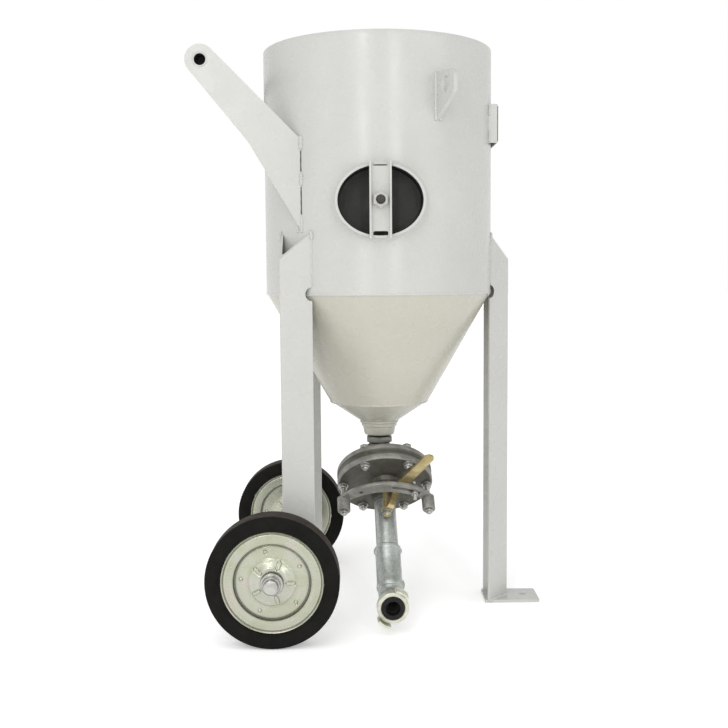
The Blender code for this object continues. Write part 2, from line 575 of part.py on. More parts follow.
BEND_R = 40.0
path = [on_pipe(t) for t in (JOINT_T, JOINT_T + 4, STRAIGHT_END - 4, STRAIGHT_END)]
radii = [23.5, 25.0, 25.0, 23.0]
for i in range(0, 4):
    a = math.radians(45 * i / 3)
    path.append((0.0, PIPE_E + BEND_R * (1 - math.cos(a)), STRAIGHT_END + 2 + BEND_R * math.sin(a)))
    radii.append(23.0)
end_dir = Vector((0, math.sin(math.radians(45)), math.cos(math.radians(45))))
path.append(tuple(Vector(path[-1]) + end_dir * 14))
radii.append(23.0)
place("outlet_elbow", pipe_mesh(path, radii, PIPE_BORE + 0.5), GALV, **on_valve)

valve_world = (Matrix.Translation(Vector(VALVE_C)) @ Matrix.Rotation(VALVE_YAW, 4, "Z")
               @ Matrix.Rotation(math.radians(135), 4, "X"))
elbow_end = valve_world @ Vector(path[-1])
on_hose = dict(loc=(elbow_end.x, elbow_end.y, elbow_end.z), rot=(math.radians(90), 0, VALVE_YAW))
COUPLING_L = 28.0
coupling = lathe("hose_coupling", [
    (17.5, GAP), (25, GAP), (26, 6), (29.5, 9), (29.5, COUPLING_L - 1), (28.5, COUPLING_L), (21.6, COUPLING_L),
    (21.6, 12), (17.5, 12)], PALE_ZINC, segs=24, **on_hose)
claws = []
for mid in (60, 240):
    root = arc(0, 0, 36, mid - 22, mid + 22, 4) + arc(0, 0, 24, mid + 22, mid - 22, 4)
    finger = arc(0, 0, 36, mid - 22, mid + 22, 4) + arc(0, 0, 31.5, mid + 22, mid - 22, 4)
    claws += [slab("claw", root, 9, 17, PALE_ZINC, **on_hose),
              slab("claw", finger, 16, COUPLING_L + 10, PALE_ZINC, **on_hose)]
weld(coupling, *claws)
discard(*claws)
lathe("coupling_gasket", [(13, 12.3), (21.3, 12.3), (21.3, COUPLING_L + 1), (19.5, COUPLING_L + 2.5), (14, COUPLING_L + 2.5),
                          (13, COUPLING_L + 1)], RUBBER, segs=24, **on_hose)
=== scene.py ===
import json
from math import acos, asin, atan2, cos, degrees, hypot, pi, radians, sin, sqrt, tan

import bmesh
import bpy
from mathutils import Matrix, Vector


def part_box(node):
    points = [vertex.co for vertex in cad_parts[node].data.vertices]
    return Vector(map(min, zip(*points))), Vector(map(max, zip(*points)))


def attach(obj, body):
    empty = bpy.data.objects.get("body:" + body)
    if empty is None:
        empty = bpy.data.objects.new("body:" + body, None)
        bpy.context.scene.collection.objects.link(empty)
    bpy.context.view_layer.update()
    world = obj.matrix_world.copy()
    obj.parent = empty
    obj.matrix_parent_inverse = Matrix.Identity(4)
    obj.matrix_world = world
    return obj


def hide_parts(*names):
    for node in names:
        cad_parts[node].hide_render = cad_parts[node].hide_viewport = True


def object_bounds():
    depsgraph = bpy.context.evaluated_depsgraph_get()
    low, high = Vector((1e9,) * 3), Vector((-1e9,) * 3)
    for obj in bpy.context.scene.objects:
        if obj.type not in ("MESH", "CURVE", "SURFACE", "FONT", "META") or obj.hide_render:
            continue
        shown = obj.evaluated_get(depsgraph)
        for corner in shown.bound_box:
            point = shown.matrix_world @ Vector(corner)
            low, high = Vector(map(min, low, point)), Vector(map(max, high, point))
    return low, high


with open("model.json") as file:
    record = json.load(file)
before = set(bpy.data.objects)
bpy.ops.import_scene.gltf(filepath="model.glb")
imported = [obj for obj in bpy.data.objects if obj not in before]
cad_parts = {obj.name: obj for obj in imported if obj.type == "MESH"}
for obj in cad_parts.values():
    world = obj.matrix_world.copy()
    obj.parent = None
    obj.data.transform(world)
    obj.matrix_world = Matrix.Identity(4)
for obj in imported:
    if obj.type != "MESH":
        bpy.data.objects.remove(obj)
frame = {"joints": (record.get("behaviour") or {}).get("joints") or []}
cad_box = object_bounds()

# ---- sizes read from the frame
DRAWN_X = 671.6  # overall length in drawing units
UNIT = (cad_box[1] - cad_box[0]).x / DRAWN_X  # metres for one drawing unit



def box(node):
    lo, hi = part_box(node)
    return lo / UNIT, hi / UNIT


def moved(x, y, z):
    return Matrix.Translation((x, y, z))


def turned(deg, axis):
    return Matrix.Rotation(radians(deg), 4, axis)


link = bpy.context.collection.objects.link

def half(node, axis):
    lo, hi = box(node)
    return (hi[axis] - lo[axis]) / 2


def middle(node, axis):
    lo, hi = box(node)
    return (hi[axis] + lo[axis]) / 2


X, Y, Z = 0, 1, 2
AX, R = middle("vessel_shell", X), half("vessel_shell", X)
SEAM_Z, RIM_Z = (corner.z for corner in box("vessel_shell"))
WALL = 5
NECK_TOP, CONE_Z = (corner.z for corner in box("lower_cone"))
CONE_R = half("lower_cone", X)
NECK_R = half("outlet_socket", X)
HAND_Z = middle("handhole_ring", Z)
HAND_A, HAND_B = half("handhole_ring", X), half("handhole_ring", Z)
HAND_FRONT = -box("handhole_ring")[0].y
WHEEL_R, HALF_W = half("tyre_near", Z), half("tyre_near", Y)
WHEEL_X, WHEEL_Y = middle("tyre_near", X), -middle("tyre_near", Y)
DISC_R, AXLE_R = half("wheel_disc_outer_near", X), half("axle", Z)
turn = next(j for j in frame["joints"] if j["name"] == "lever_turn")
VALVE_C = Vector(turn["pos_m"]) / UNIT
VALVE_YAW = atan2(turn["axis"][0], -turn["axis"][1])

TANK = moved(AX, 0, 0)
VALVE = Matrix.Translation(VALVE_C) @ Matrix.Rotation(VALVE_YAW, 4, "Z") @ turned(135, "X")
LEVER = VALVE @ turned(62, "Z")  # the angle the photograph shows
HAND = moved(AX, 0, HAND_Z) @ turned(90, "X")

# ---- camera
PITCH, YAW, ROLL = 0.0868, -0.0058, 0.0075  # radians
CAM_SPOT = Vector((AX - 42, -2075.4, 663.3))
cam_data = bpy.data.cameras.new("camera")
cam_data.sensor_width = 36
cam_data.lens = 51.14176
cam = bpy.data.objects.new("camera", cam_data)
look = (Matrix.Rotation(YAW, 4, "Z") @ Matrix.Rotation(-PITCH, 4, "X") @ Matrix.Rotation(ROLL, 4, "Y")
        @ turned(90, "X"))
cam.matrix_world = Matrix.Translation(CAM_SPOT * UNIT) @ look
link(cam)
bpy.context.scene.camera = cam
bpy.context.scene.view_settings.view_transform = "Standard"

# ---- light and floor
world = bpy.data.worlds.new("studio")
bpy.context.scene.world = world
world.use_nodes = True
sky = world.node_tree
split = sky.nodes.new("ShaderNodeSeparateXYZ")
sky.links.new(sky.nodes.new("ShaderNodeTexCoord").outputs["Generated"], split.inputs[0])
fade = sky.nodes.new("ShaderNodeValToRGB")
for element, (height, grey) in zip(fade.color_ramp.elements, ((0.32, 1), (0.62, 0.62))):
    element.position = height
    element.color = (grey, grey, grey, 1)
sky.links.new(split.outputs["Z"], fade.inputs["Fac"])
sky.links.new(fade.outputs["Color"], sky.nodes["Background"].inputs["Color"])


def lamp(name, kind, power, spot, aim):
    data = bpy.data.lights.new(name, kind)
    data.energy = power
    obj = bpy.data.objects.new(name, data)
    obj.location = spot
    obj.rotation_euler = (Vector(aim) - Vector(spot)).to_track_quat("-Z", "Y").to_euler()
    link(obj)
    return data


def softbox(name, power, size, spot, aim):
    data = lamp(name, "AREA", power, spot, aim)
    data.shape = "RECTANGLE"
    data.size, data.size_y = size


lamp("broad_top_light", "SUN", 0.6, (0, 0, 0), (0.25, 0.5, -1)).angle = radians(50)
softbox("key_light", 4.5, (0.9, 2), (-0.9, -2.4, 2.3), (0, 0, 0.6))
softbox("strip_left", 10, (0.11, 1.9), (-0.66, -2.7, 1.35), (0, 0, 0.7))
softbox("strip_right", 9, (0.11, 1.9), (0.76, -2.7, 1.35), (0, 0, 0.7))
softbox("side_light", 3, (1.2, 1.8), (-2.6, -1.9, 1.2), (0, 0, 0.6))
softbox("fill_light", 5, (1.6, 1.6), (2.6, -2.2, 1.4), (0, 0, 0.6))

# ---- materials


class Look:
    """A small builder for one node material."""

    def __init__(self, name, metallic=0, roughness=0.5, **sockets):
        self.mat = bpy.data.materials.new(name)
        self.mat.use_nodes = True
        self.tree = self.mat.node_tree
        self.shader = self.tree.nodes["Principled BSDF"]
        self.shader.inputs["Metallic"].default_value = metallic
        self.shader.inputs["Roughness"].default_value = roughness
        for key, value in sockets.items():
            self.shader.inputs[key.replace("_", " ")].default_value = value
        self.coords = self.tree.nodes.new("ShaderNodeTexCoord").outputs["Object"]
        self.height = None

    def node(self, kind, source=None, socket="Vector", **values):
        """Add a node, set inputs by name and link a source to one socket."""
        node = self.tree.nodes.new("ShaderNode" + kind)
        for key, value in values.items():
            node.inputs[key].default_value = value
        if source is not None:
            self.tree.links.new(source, node.inputs[socket])
        return node

    def noise(self, scale, detail=3, rough=0.5, distortion=0):
        return self.node("TexNoise", self.coords, Scale=scale, Detail=detail, Roughness=rough,
                         Distortion=distortion).outputs["Fac"]

    def cells(self, scale):
        return self.node("TexVoronoi", self.coords, Scale=scale).outputs["Color"]

    def radial(self, x, z, reach):
        """Distance from the wheels' centre line: 0 on it, 1 at the given radius."""
        place = self.node("Mapping", self.coords, Scale=(1 / reach, 0, 1 / reach),
                          Location=(-x / reach, 0, -z / reach))
        span = self.node("VectorMath", place.outputs["Vector"], 0)
        span.operation = "LENGTH"
        return span.outputs["Value"]

    def ramp(self, source, *stops):
        node = self.node("ValToRGB", source, "Fac")
        ramp = node.color_ramp
        while len(ramp.elements) < len(stops):
            ramp.elements.new(0.5)
        for element, (place, value) in zip(ramp.elements, stops):
            element.position = place
            element.color = (*value, 1) if isinstance(value, tuple) else (value, value, value, 1)
        return node.outputs["Color"]

    def blend(self, factor, a, b, mode="MIX"):
        node = self.node("Mix")
        node.data_type = "RGBA"
        node.blend_type = mode
        for socket, value in ((node.inputs[0], factor), (node.inputs[6], a), (node.inputs[7], b)):
            if isinstance(value, bpy.types.NodeSocket):
                self.tree.links.new(value, socket)
            else:
                socket.default_value = value
        return node.outputs[2]

    def colour(self, source):
        self.tree.links.new(source, self.shader.inputs["Base Color"])

    def gloss(self, source, low, high):
        self.tree.links.new(self.ramp(source, (0.3, low), (0.7, high)), self.shader.inputs["Roughness"])

    def bump(self, source, depth_mm, strength):
        node = self.node("Bump", source, "Height", Strength=strength, Distance=depth_mm / 1000)
        if self.height is not None:
            self.tree.links.new(self.height, node.inputs["Normal"])
        self.height = node.outputs["Normal"]
        self.tree.links.new(self.height, self.shader.inputs["Normal"])


def powder_coat(name, light, dark):
    """Textured powder coat: fine leather-like relief, faint cloudiness, a little grime."""
    look = Look(name, 0, 0.38)
    cloud = look.noise(7, 4, 0.6)
    grime = look.noise(60, 6, 0.7, distortion=0.6)
    base = look.ramp(cloud, (0.3, dark), (0.7, light))
    specks = look.ramp(grime, (0.24, tuple(0.8 * c for c in dark)), (0.34, (1, 1, 1)))
    look.colour(look.blend(0.35, base, specks, "MULTIPLY"))
    look.gloss(look.noise(25, 3), 0.22, 0.32)
    look.bump(look.noise(420, 2, 0.5), 0.22, 0.5)
    look.bump(look.noise(30, 2, 0.5), 0.5, 0.22)
    return look.mat


def cast_metal(name, dark, mid, light):
    """Grainy grey casting, darker in its pits."""
    look = Look(name, 0.55, 0.5)
    look.colour(look.ramp(look.noise(45, 6, 0.65, distortion=0.4), (0.3, dark), (0.52, mid), (0.75, light)))
    look.gloss(look.noise(90, 4), 0.38, 0.6)
    look.bump(look.noise(700, 3, 0.6), 0.25, 0.6)
    look.bump(look.noise(120, 3, 0.6), 0.4, 0.4)
    return look.mat


def plated(name, stops, roughness, metallic=0.9, grain=0.08, blotch=28):
    """Zinc plate: soft blotches of colour over fine drawn grain."""
    look = Look(name, metallic, sum(roughness) / 2)
    look.colour(look.ramp(look.noise(blotch, 5, 0.6, distortion=1.2), *stops))
    look.gloss(look.noise(150, 4, 0.6), *roughness)
    look.bump(look.noise(1500, 2, 0.5), grain, 0.35)
    look.bump(look.noise(60, 3, 0.5), 0.3, 0.2)
    return look.mat


def rubber(name, dark, light, roughness, dust=None, shine=0.22):
    look = Look(name, 0, 0.7, Specular_IOR_Level=shine)
    base = look.ramp(look.noise(35, 6, 0.65), (0.3, dark), (0.75, light))
    if dust:
        base = look.blend(look.ramp(look.noise(160, 5, 0.7), (0.45, 0), (0.8, 0.7)), base, (*dust, 1))
    look.colour(base)
    look.gloss(look.noise(80, 4), *roughness)
    look.bump(look.noise(900, 4, 0.6), 0.25, 0.5)
    return look.mat


def galvanised(name):
    """Spangled galvanised steel: crystal patches of slightly different grey."""
    look = Look(name, 0.8, 0.36)
    grey = look.ramp(look.cells(330), (0.2, (0.4, 0.43, 0.41)), (0.8, (0.52, 0.545, 0.525)))
    stain = look.ramp(look.noise(40, 5, 0.6), (0.35, (0.8, 0.8, 0.78)), (0.6, (1, 1, 1)))
    look.colour(look.blend(0.8, grey, stain, "MULTIPLY"))
    look.gloss(look.noise(120, 4), 0.32, 0.46)
    look.bump(look.noise(500, 3), 0.15, 0.3)
    return look.mat


def pressed_disc(name):
    """Pressed and passivated wheel disc: smooth tints, with painted shade darkening its pressed grooves and
    steps.
    """
    look = Look(name, 0.72, 0.28)
    tint = look.ramp(look.noise(10, 4, 0.55, distortion=1.4), (0.28, (0.39, 0.42, 0.31)),
                     (0.42, (0.45, 0.455, 0.35)), (0.52, (0.46, 0.485, 0.39)),
                     (0.62, (0.5, 0.475, 0.4)), (0.74, (0.45, 0.51, 0.48)))
    # rings: painted shade by radius, dark at the hub, at the dome's foot, in the pressed groove and in the
    # outer lip's crease; the dome gets a less yellow tint
    rings = look.ramp(look.radial(WHEEL_X * UNIT, WHEEL_R * UNIT, DISC_R * UNIT),
                      (0.21, 0.72), (0.26, (1, 1, 1.08)), (0.42, (1, 1, 1.03)), (0.48, 0.88),
                      (0.53, 0.96), (0.68, 0.92), (0.72, 0.5), (0.75, 0.36), (0.768, 0.85), (0.8, 0.95),
                      (0.9, 0.9), (0.935, 0.98), (0.952, 0.62), (0.975, 1))
    look.colour(look.blend(1, tint, rings, "MULTIPLY"))
    look.gloss(look.noise(60, 3, 0.5), 0.25, 0.31)
    look.bump(look.noise(1500, 2, 0.5), 0.02, 0.3)
    look.bump(look.noise(22, 2, 0.5), 0.15, 0.15)
    return look.mat


MATS = {name: make(name, *look) for make, name, *look in (
    (powder_coat, "paint", (0.485, 0.486, 0.463), (0.457, 0.457, 0.434)),
    (powder_coat, "cone_paint", (0.47, 0.459, 0.392), (0.44, 0.43, 0.364)),
    (rubber, "cover", (0.021, 0.021, 0.019), (0.033, 0.032, 0.029), (0.4, 0.55)),
    (rubber, "rubber", (0.006, 0.006, 0.006), (0.014, 0.0135, 0.013), (0.55, 0.75)),
    (rubber, "tyre", (0.006, 0.006, 0.0055), (0.012, 0.0115, 0.0095), (0.55, 0.7), None, 0.07),
    (rubber, "tread", (0.024, 0.02, 0.017), (0.05, 0.042, 0.036), (0.65, 0.85), (0.09, 0.072, 0.058), 0.12),
    (pressed_disc, "zinc_disc"),
    (plated, "steel", ((0.3, (0.34, 0.335, 0.315)), (0.7, (0.56, 0.555, 0.53))), (0.24, 0.4)),
    # dark_thread: dark threaded steel, also carrying painted shade in the nipple's thread gaps and a painted
    # shadow line at the pipe joint
    (plated, "dark_thread", ((0.3, (0.07, 0.065, 0.055)), (0.7, (0.17, 0.155, 0.13))), (0.3, 0.5), 0.8),
    (cast_metal, "cast", (0.068, 0.066, 0.053), (0.105, 0.102, 0.083), (0.17, 0.166, 0.14)),
    # cast_light: lighter casting tone for the lock nut and quadrant plate, also painted on the valve flanges'
    # edges as a highlight
    (cast_metal, "cast_light", (0.17, 0.168, 0.148), (0.26, 0.258, 0.236), (0.4, 0.4, 0.375)),
    (galvanised, "galvanised"),
    (plated, "yellow_zinc", ((0.28, (0.36, 0.27, 0.11)), (0.5, (0.5, 0.4, 0.19)), (0.7, (0.58, 0.51, 0.31))),
     (0.28, 0.45), 0.8, 0.08, 30),
    (plated, "pale_zinc", ((0.28, (0.48, 0.48, 0.38)), (0.6, (0.66, 0.66, 0.57))), (0.35, 0.55),
     0.6, 0.12, 45),
    # plate: the rating plate's dark finish, also painted into the handle arms' open joints as shade
    (plated, "plate", ((0.3, (0.06, 0.055, 0.05)), (0.7, (0.11, 0.1, 0.095))), (0.3, 0.45), 0.7),
    (plated, "dark_stud", ((0.3, (0.025, 0.023, 0.021)), (0.7, (0.055, 0.05, 0.045))), (0.4, 0.6), 0.5))}

# ---- mesh tools (drawing units in, m out)


def skin(bm, rings, closed):
    pairs = list(zip(rings, rings[1:])) + ([(rings[-1], rings[0])] if closed else [])
    for a, b in pairs:
        if len(a) == 1 and len(b) == 1:
            continue
        n = max(len(a), len(b))
        for i in range(n):
            j = (i + 1) % n
            if len(a) == 1:
                bm.faces.new((a[0], b[j], b[i]))
            elif len(b) == 1:
                bm.faces.new((a[i], a[j], b[0]))
            else:
                bm.faces.new((a[i], a[j], b[j], b[i]))


def polar(r, deg, cx=0, cy=0):
    a = radians(deg)
    return cx + r * cos(a), cy + r * sin(a)


def ellipse(a, b, n, cx=0, cy=0):
    steps = [2 * pi * i / n for i in range(n)]
    return [(cx + a * cos(t), cy + b * sin(t)) for t in steps]


def circle(r, n, cx=0, cy=0):
    return ellipse(r, r, n, cx, cy)


def arc(cx, cy, r, deg0, deg1, n):
    return [polar(r, deg0 + (deg1 - deg0) * i / n, cx, cy) for i in range(n + 1)]


def offset(profile, dr=0, dz=0):
    return [(r + dr, z + dz) for r, z in profile]


def rounded(points, radius, steps=4, closed=True):
    """Round each corner of an outline; a point may carry its own radius as a third number."""
    out = []
    n = len(points)
    for i, point in enumerate(points):
        p = Vector(point[:2])
        r = point[2] if len(point) > 2 else radius
        if r <= 0 or (not closed and i in (0, n - 1)):
            out.append(tuple(p))
            continue
        a = Vector(points[i - 1][:2]) - p
        b = Vector(points[(i + 1) % n][:2]) - p
        la, lb = a.length, b.length
        a.normalize()
        b.normalize()
        angle = acos(max(-1, min(1, a.dot(b))))
        if angle > radians(176):
            out.append(tuple(p))
            continue
        back = min(r / tan(angle / 2), 0.48 * la, 0.48 * lb)
        start, end = p + a * back, p + b * back
        for k in range(steps + 1):
            t = k / steps
            out.append(tuple((1 - t) ** 2 * start + 2 * t * (1 - t) * p + t ** 2 * end))
    return out


def lathe(profile, segs):
    bm = bmesh.new()
    rings = []
    for r, z in profile:
        if r < 1e-6:
            rings.append([bm.verts.new((0, 0, z))])
        else:
            rings.append([bm.verts.new((x, y, z)) for x, y in circle(r, segs)])
    skin(bm, rings, True)
    return bm


def slab(outline, z0, z1, holes=()):
    bm = bmesh.new()
    caps = ([], [])
    for loop in (outline, *holes):
        low = [bm.verts.new((p[0], p[1], z0)) for p in loop]
        high = [bm.verts.new((p[0], p[1], z1)) for p in loop]
        skin(bm, [low, high], False)
        for ring, cap in zip((low, high), caps):
            n = len(ring)
            cap += [bm.edges.get((ring[i], ring[(i + 1) % n])) for i in range(n)]
    for cap in caps:
        bmesh.ops.triangle_fill(bm, use_beauty=True, use_dissolve=True, edges=cap)
    return bm


def stack(stations, n):
    """Stations of shape, radius and height: 'c' round, 'h' hexagonal, 'k' a hexagon's chamfer."""
    bm = bmesh.new()
    rings = [[bm.verts.new((0, 0, stations[0][2]))]]
    for shape, r, z in stations:
        ring = []
        for i in range(n):
            a = 2 * pi * i / n
            k = 1
            if shape != "c":
                fold = (a + pi / 6) % (pi / 3) - pi / 6
                k = min(1 / cos(fold), 1.13 if shape == "h" else 1.06)
            ring.append(bm.verts.new((k * r * cos(a), k * r * sin(a), z)))
        rings.append(ring)
    rings.append([bm.verts.new((0, 0, stations[-1][2]))])
    skin(bm, rings, False)
    return bm


def hexagon(r, z0, z1):
    """Stations of a chamfered hexagon."""
    c = min(1.2, (z1 - z0) * 0.25)
    return [("k", r * 0.93, z0), ("h", r, z0 + c), ("h", r, z1 - c), ("k", r * 0.93, z1)]


def thread(r, z0, z1, pitch=1.5):
    """Stations of a fine ridged thread."""
    n = max(1, int((z1 - z0) / pitch))
    out = [("c", r * 0.9, z0)]
    for i in range(n):
        z = z0 + (z1 - z0) * i / n
        step = (z1 - z0) / n
        out += [("c", r, z + step * 0.35), ("c", r, z + step * 0.6), ("c", r * 0.91, z + step)]
    return out


def sweep(path, radii, segs, bore=None):
    """A round section carried along a path; solid, or hollow when a bore is given."""
    bm = bmesh.new()
    points = [Vector(p) for p in path]
    last = len(points) - 1
    tangents = [(points[min(last, i + 1)] - points[max(0, i - 1)]).normalized() for i in range(last + 1)]
    normal = tangents[0].orthogonal().normalized()
    outer, inner = [], []
    for p, t, r in zip(points, tangents, radii):
        normal = (normal - t * normal.dot(t)).normalized()
        other = t.cross(normal)
        for rings, size in ((outer, r), (inner, bore)):
            if size is not None:
                rings.append([bm.verts.new(p + normal * (x * size) + other * (y * size))
                              for x, y in circle(1, segs)])
    if bore is not None:
        skin(bm, outer + inner[::-1], True)
    else:
        skin(bm, outer, False)
        bm.faces.new(outer[0])
        bm.faces.new(outer[-1][::-1])
    return bm


def as_object(name, bm, matrix):
    bmesh.ops.recalc_face_normals(bm, faces=bm.faces)
    mesh = bpy.data.meshes.new(name)
    bm.to_mesh(mesh)
    bm.free()
    mesh.transform(Matrix.Scale(UNIT, 4) @ matrix)
    obj = bpy.data.objects.new(name, mesh)
    link(obj)
    return obj


def settle(obj):
    """Apply the object's modifiers to its mesh."""
    bpy.context.view_layer.update()
    graph = bpy.context.evaluated_depsgraph_get()
    mesh = bpy.data.meshes.new_from_object(obj.evaluated_get(graph))
    obj.modifiers.clear()
    obj.data = mesh


def carve(obj, tools, operation="DIFFERENCE"):
    for tool in tools:
        mod = obj.modifiers.new("carve", "BOOLEAN")
        mod.operation = operation
        mod.solver = "EXACT"
        mod.object = tool
        settle(obj)


def drop(*tools):
    for tool in tools:
        bpy.data.objects.remove(tool, do_unlink=True)


def bevelled(obj, width, steps, deg=35):
    mod = obj.modifiers.new("bevel", "BEVEL")
    mod.width, mod.segments = width / 1000, steps
    mod.limit_method, mod.angle_limit = "ANGLE", radians(deg)
    settle(obj)


def dress(obj, mat, body="pot", nodes=(), bevel=0, steps=2, sharp=34):
    """Bevel, shade, paint and hand a finished piece to its body."""
    if bevel:
        bevelled(obj, bevel, steps)
    obj.data.shade_smooth()
    obj.data.set_sharp_from_angle(angle=radians(sharp))
    obj.data.materials.clear()
    obj.data.materials.append(MATS[mat])
    if bevel:
        obj.modifiers.new("even", "WEIGHTED_NORMAL").keep_sharp = True
    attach(obj, body)
    if nodes:
        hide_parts(*nodes)


def piece(name, bm, mat, matrix=TANK, nodes=(), join=(), cut=(), **finish):
    """Place a mesh, join and cut its tools, and finish it."""
    obj = as_object(name, bm, matrix)
    carve(obj, join, "UNION")
    carve(obj, cut)
    drop(*join, *cut)
    dress(obj, mat, nodes=nodes, **finish)


def tool(bm, matrix=TANK):
    return as_object("tool", bm, matrix)


def drill(r, z0, z1, matrix=TANK, n=48, cx=0, cy=0):
    return tool(slab(circle(r, n, cx, cy), z0, z1), matrix)


def bead(name, path, r=2.2, mat="paint", ripple=3.2, matrix=TANK, wave=0.16):
    """A weld bead: a rippled round along a path, with tapered ends."""
    points = [Vector(p) for p in path]
    lengths = [0]
    for a, b in zip(points, points[1:]):
        lengths.append(lengths[-1] + (b - a).length)
    total = lengths[-1]
    n = max(8, int(total / (ripple / 4)))
    fine, radii = [], []
    k = 0
    for i in range(n + 1):
        s = total * i / n
        while k < len(points) - 2 and lengths[k + 1] < s:
            k += 1
        t = (s - lengths[k]) / max(1e-9, lengths[k + 1] - lengths[k])
        fine.append(points[k].lerp(points[k + 1], t))
        end = min(1, (min(s, total - s) + 0.6) / (1.6 * r))
        lump = 1 + wave * sin(2 * pi * s / ripple) + 0.1 * sin(s * 0.37)
        radii.append(r * lump * sqrt(max(0.05, 1 - (1 - end) ** 2)))
    piece(name, sweep(fine, radii, 12), mat, matrix, sharp=60)


def upright(x, y, z0, z1):
    return [(x, y, z0), (x, y, z1)]


def wall_at(x):
    """How far out the vessel's wall lies, x away from its centre line."""
    return sqrt(R ** 2 - x ** 2)


def oval(grow, n):
    """The handhole's outline, grown or shrunk."""
    return ellipse(HAND_A + grow, HAND_B + grow, n)


# ---- floor
floor_bm = bmesh.new()
rings = [[floor_bm.verts.new((0, 0, 0))]]
for radius in (1000, 3000, 9000, 30000):
    rings.append([floor_bm.verts.new((x, y, 0)) for x, y in circle(radius, 64)])
skin(floor_bm, rings, False)
floor = as_object("floor", floor_bm, moved(0, 0, -0.2))
floor_look = Look("floor", 0, 0.85)
floor_look.colour(floor_look.ramp(floor_look.noise(2, 3), (0.3, 0.955), (0.7, 0.975)))
floor_look.shader.inputs["Emission Color"].default_value = (1, 1, 1, 1)
floor_look.shader.inputs["Emission Strength"].default_value = 0.25
floor.data.materials.append(floor_look.mat)

# ---- vessel
TURNS = 192  # sides of the vessel's circles
EDGE = 1.2  # rounding of its free edge
GAP = 0.3  # clearance between pieces that only touch
NEAR_FAR = ((-1, "near"), (1, "far"))
air_lo, air_hi = box("air_inlet_socket")
AIR_Z = middle("air_inlet_socket", Z)
AIR = moved(AX, 0, AIR_Z) @ turned(-90, "X")
levels = [SEAM_Z + (RIM_Z - 10 - SEAM_Z) * i / 12 for i in range(13)]
rim_edge = [(R - WALL * t, RIM_Z - EDGE * q)
            for t, q in ((0, 1), (0.07, 0.3), (0.24, 0), (0.76, 0), (0.93, 0.3), (1, 1))]
hole = tool(slab(oval(-0.6, 128), 150, 260), HAND)
piece("vessel_wall", lathe(
    [(R, z) for z in levels] + rim_edge + [(R - WALL, z) for z in reversed(levels)], TURNS),
    "paint", nodes=["vessel_shell"], sharp=30, cut=[hole, drill(13.8, 200, 240, AIR)])
piece("cone_wall", lathe(
    [(R - 0.2, SEAM_Z), (CONE_R, CONE_Z), (CONE_R - 7, CONE_Z), (R - WALL, SEAM_Z)], TURNS),
    "cone_paint", nodes=["main_cone"], sharp=30)
piece("cone_end", lathe(
    [(CONE_R - 0.3, CONE_Z), (NECK_R + 6, NECK_TOP + 4), (NECK_R + 1.6, NECK_TOP + 1),
     (NECK_R, NECK_TOP), (NECK_R - 9, NECK_TOP), (CONE_R - 7, CONE_Z)], TURNS),
    "cone_paint", nodes=["lower_cone"], sharp=30)


def ring_bead(name, r, z, w, h, mat, lumps, segs=TURNS, seed=0):
    """A welded seam running round the vessel, w high and standing h proud."""
    bm = bmesh.new()
    rings = []
    for k in range(7):
        a = radians(-90 + 30 * k)
        ring = []
        for i in range(segs * 2):
            t = pi * i / segs
            swell = 1 + lumps * (sin(97 * t + seed) + 0.6 * sin(31 * t + 2 * seed))
            rr = r - 1.5 + (h + 1.5) * cos(a) * swell
            ring.append(bm.verts.new((rr * cos(t), rr * sin(t), z + w / 2 * sin(a) * swell)))
        rings.append(ring)
    skin(bm, rings, True)
    piece(name, bm, mat, sharp=60)


ring_bead("seam_weld", R - 0.5, SEAM_Z - 0.5, 6.5, 1.2, "paint", 0.03)
ring_bead("cone_end_weld", CONE_R - 0.6, CONE_Z, 6, 1.1, "cone_paint", 0.05, 96, 1)
ring_bead("neck_weld", NECK_R + 1.2, NECK_TOP, 6.5, 2, "cone_paint", 0.06, 72, 2)

# screwed outlet socket under the cone
piece("outlet_collar", lathe(
    [(NECK_R, NECK_TOP)]
    + offset([(NECK_R, 19), (NECK_R - 0.6, 17.6), (32.8, 16.6), (32.2, 12), (31.4, 8), (30.4, 3), (29.4, 0.6),
              (28.4, 0), (22.4, 0), (21.5, 1), (21.4, 21)], dz=box("outlet_socket")[0].z)
    + [(26, NECK_TOP)], 96), "cone_paint", nodes=["outlet_socket"], sharp=40)

# dished top head, the seat ring, its seal and the pop-up plug
head_lo, head_hi = box("top_head")
INNER, HEAD_RIM = half("top_head", X), head_hi.z
HOLE_R, HEAD_T = 52, 5
HOLE_Z = head_lo.z + HEAD_T


def head_z(r):
    return HOLE_Z + (HEAD_RIM - HOLE_Z) * ((r - HOLE_R) / (INNER - HOLE_R)) ** 1.6


head_r = [HOLE_R + (INNER - HOLE_R) * i / 28 for i in range(29)]
piece("dished_head", lathe(
    [(HOLE_R, HOLE_Z - 1.2), (HOLE_R + 0.5, HOLE_Z - 0.3)]
    + [(max(r, HOLE_R + 1.4), head_z(r)) for r in head_r]
    + [(r, head_z(r) - HEAD_T) for r in reversed(head_r)], TURNS), "paint", nodes=["top_head"], sharp=40)
piece("head_weld", lathe(
    [(INNER - 7, head_z(INNER - 7) + 0.1)]
    + offset([(-4.5, 0.2), (-2.2, 2.6), (-0.6, 6), (0.4, 8), (0.4, -3), (-5, -3.5)], INNER, HEAD_RIM), TURNS),
    "paint", sharp=50)
SEAT_TOP = box("seat_ring")[1].z
piece("seat_holder", lathe(offset(
    [(46, 0), (57, 0), (58, -1), (58, -8), (57, -9), (40.8, -9), (40, -8.2), (40, -7), (46, -7)],
    dz=SEAT_TOP), 96), "steel", nodes=["seat_ring"], sharp=35)
piece("seat_rubber", lathe(offset(
    [(38.4, 0), (45.8, 0), (45.8, -6.9), (38.4, -6.9), (37.7, -5.8), (36.9, -4.5), (36.6, -3.4), (36.9, -2.4),
     (37.7, -1)], dz=SEAT_TOP), 96), "rubber", nodes=["seat_seal"], sharp=35)
PLUG_Z = box("popup_plug")[1].z - 30  # underside of the plug's dome
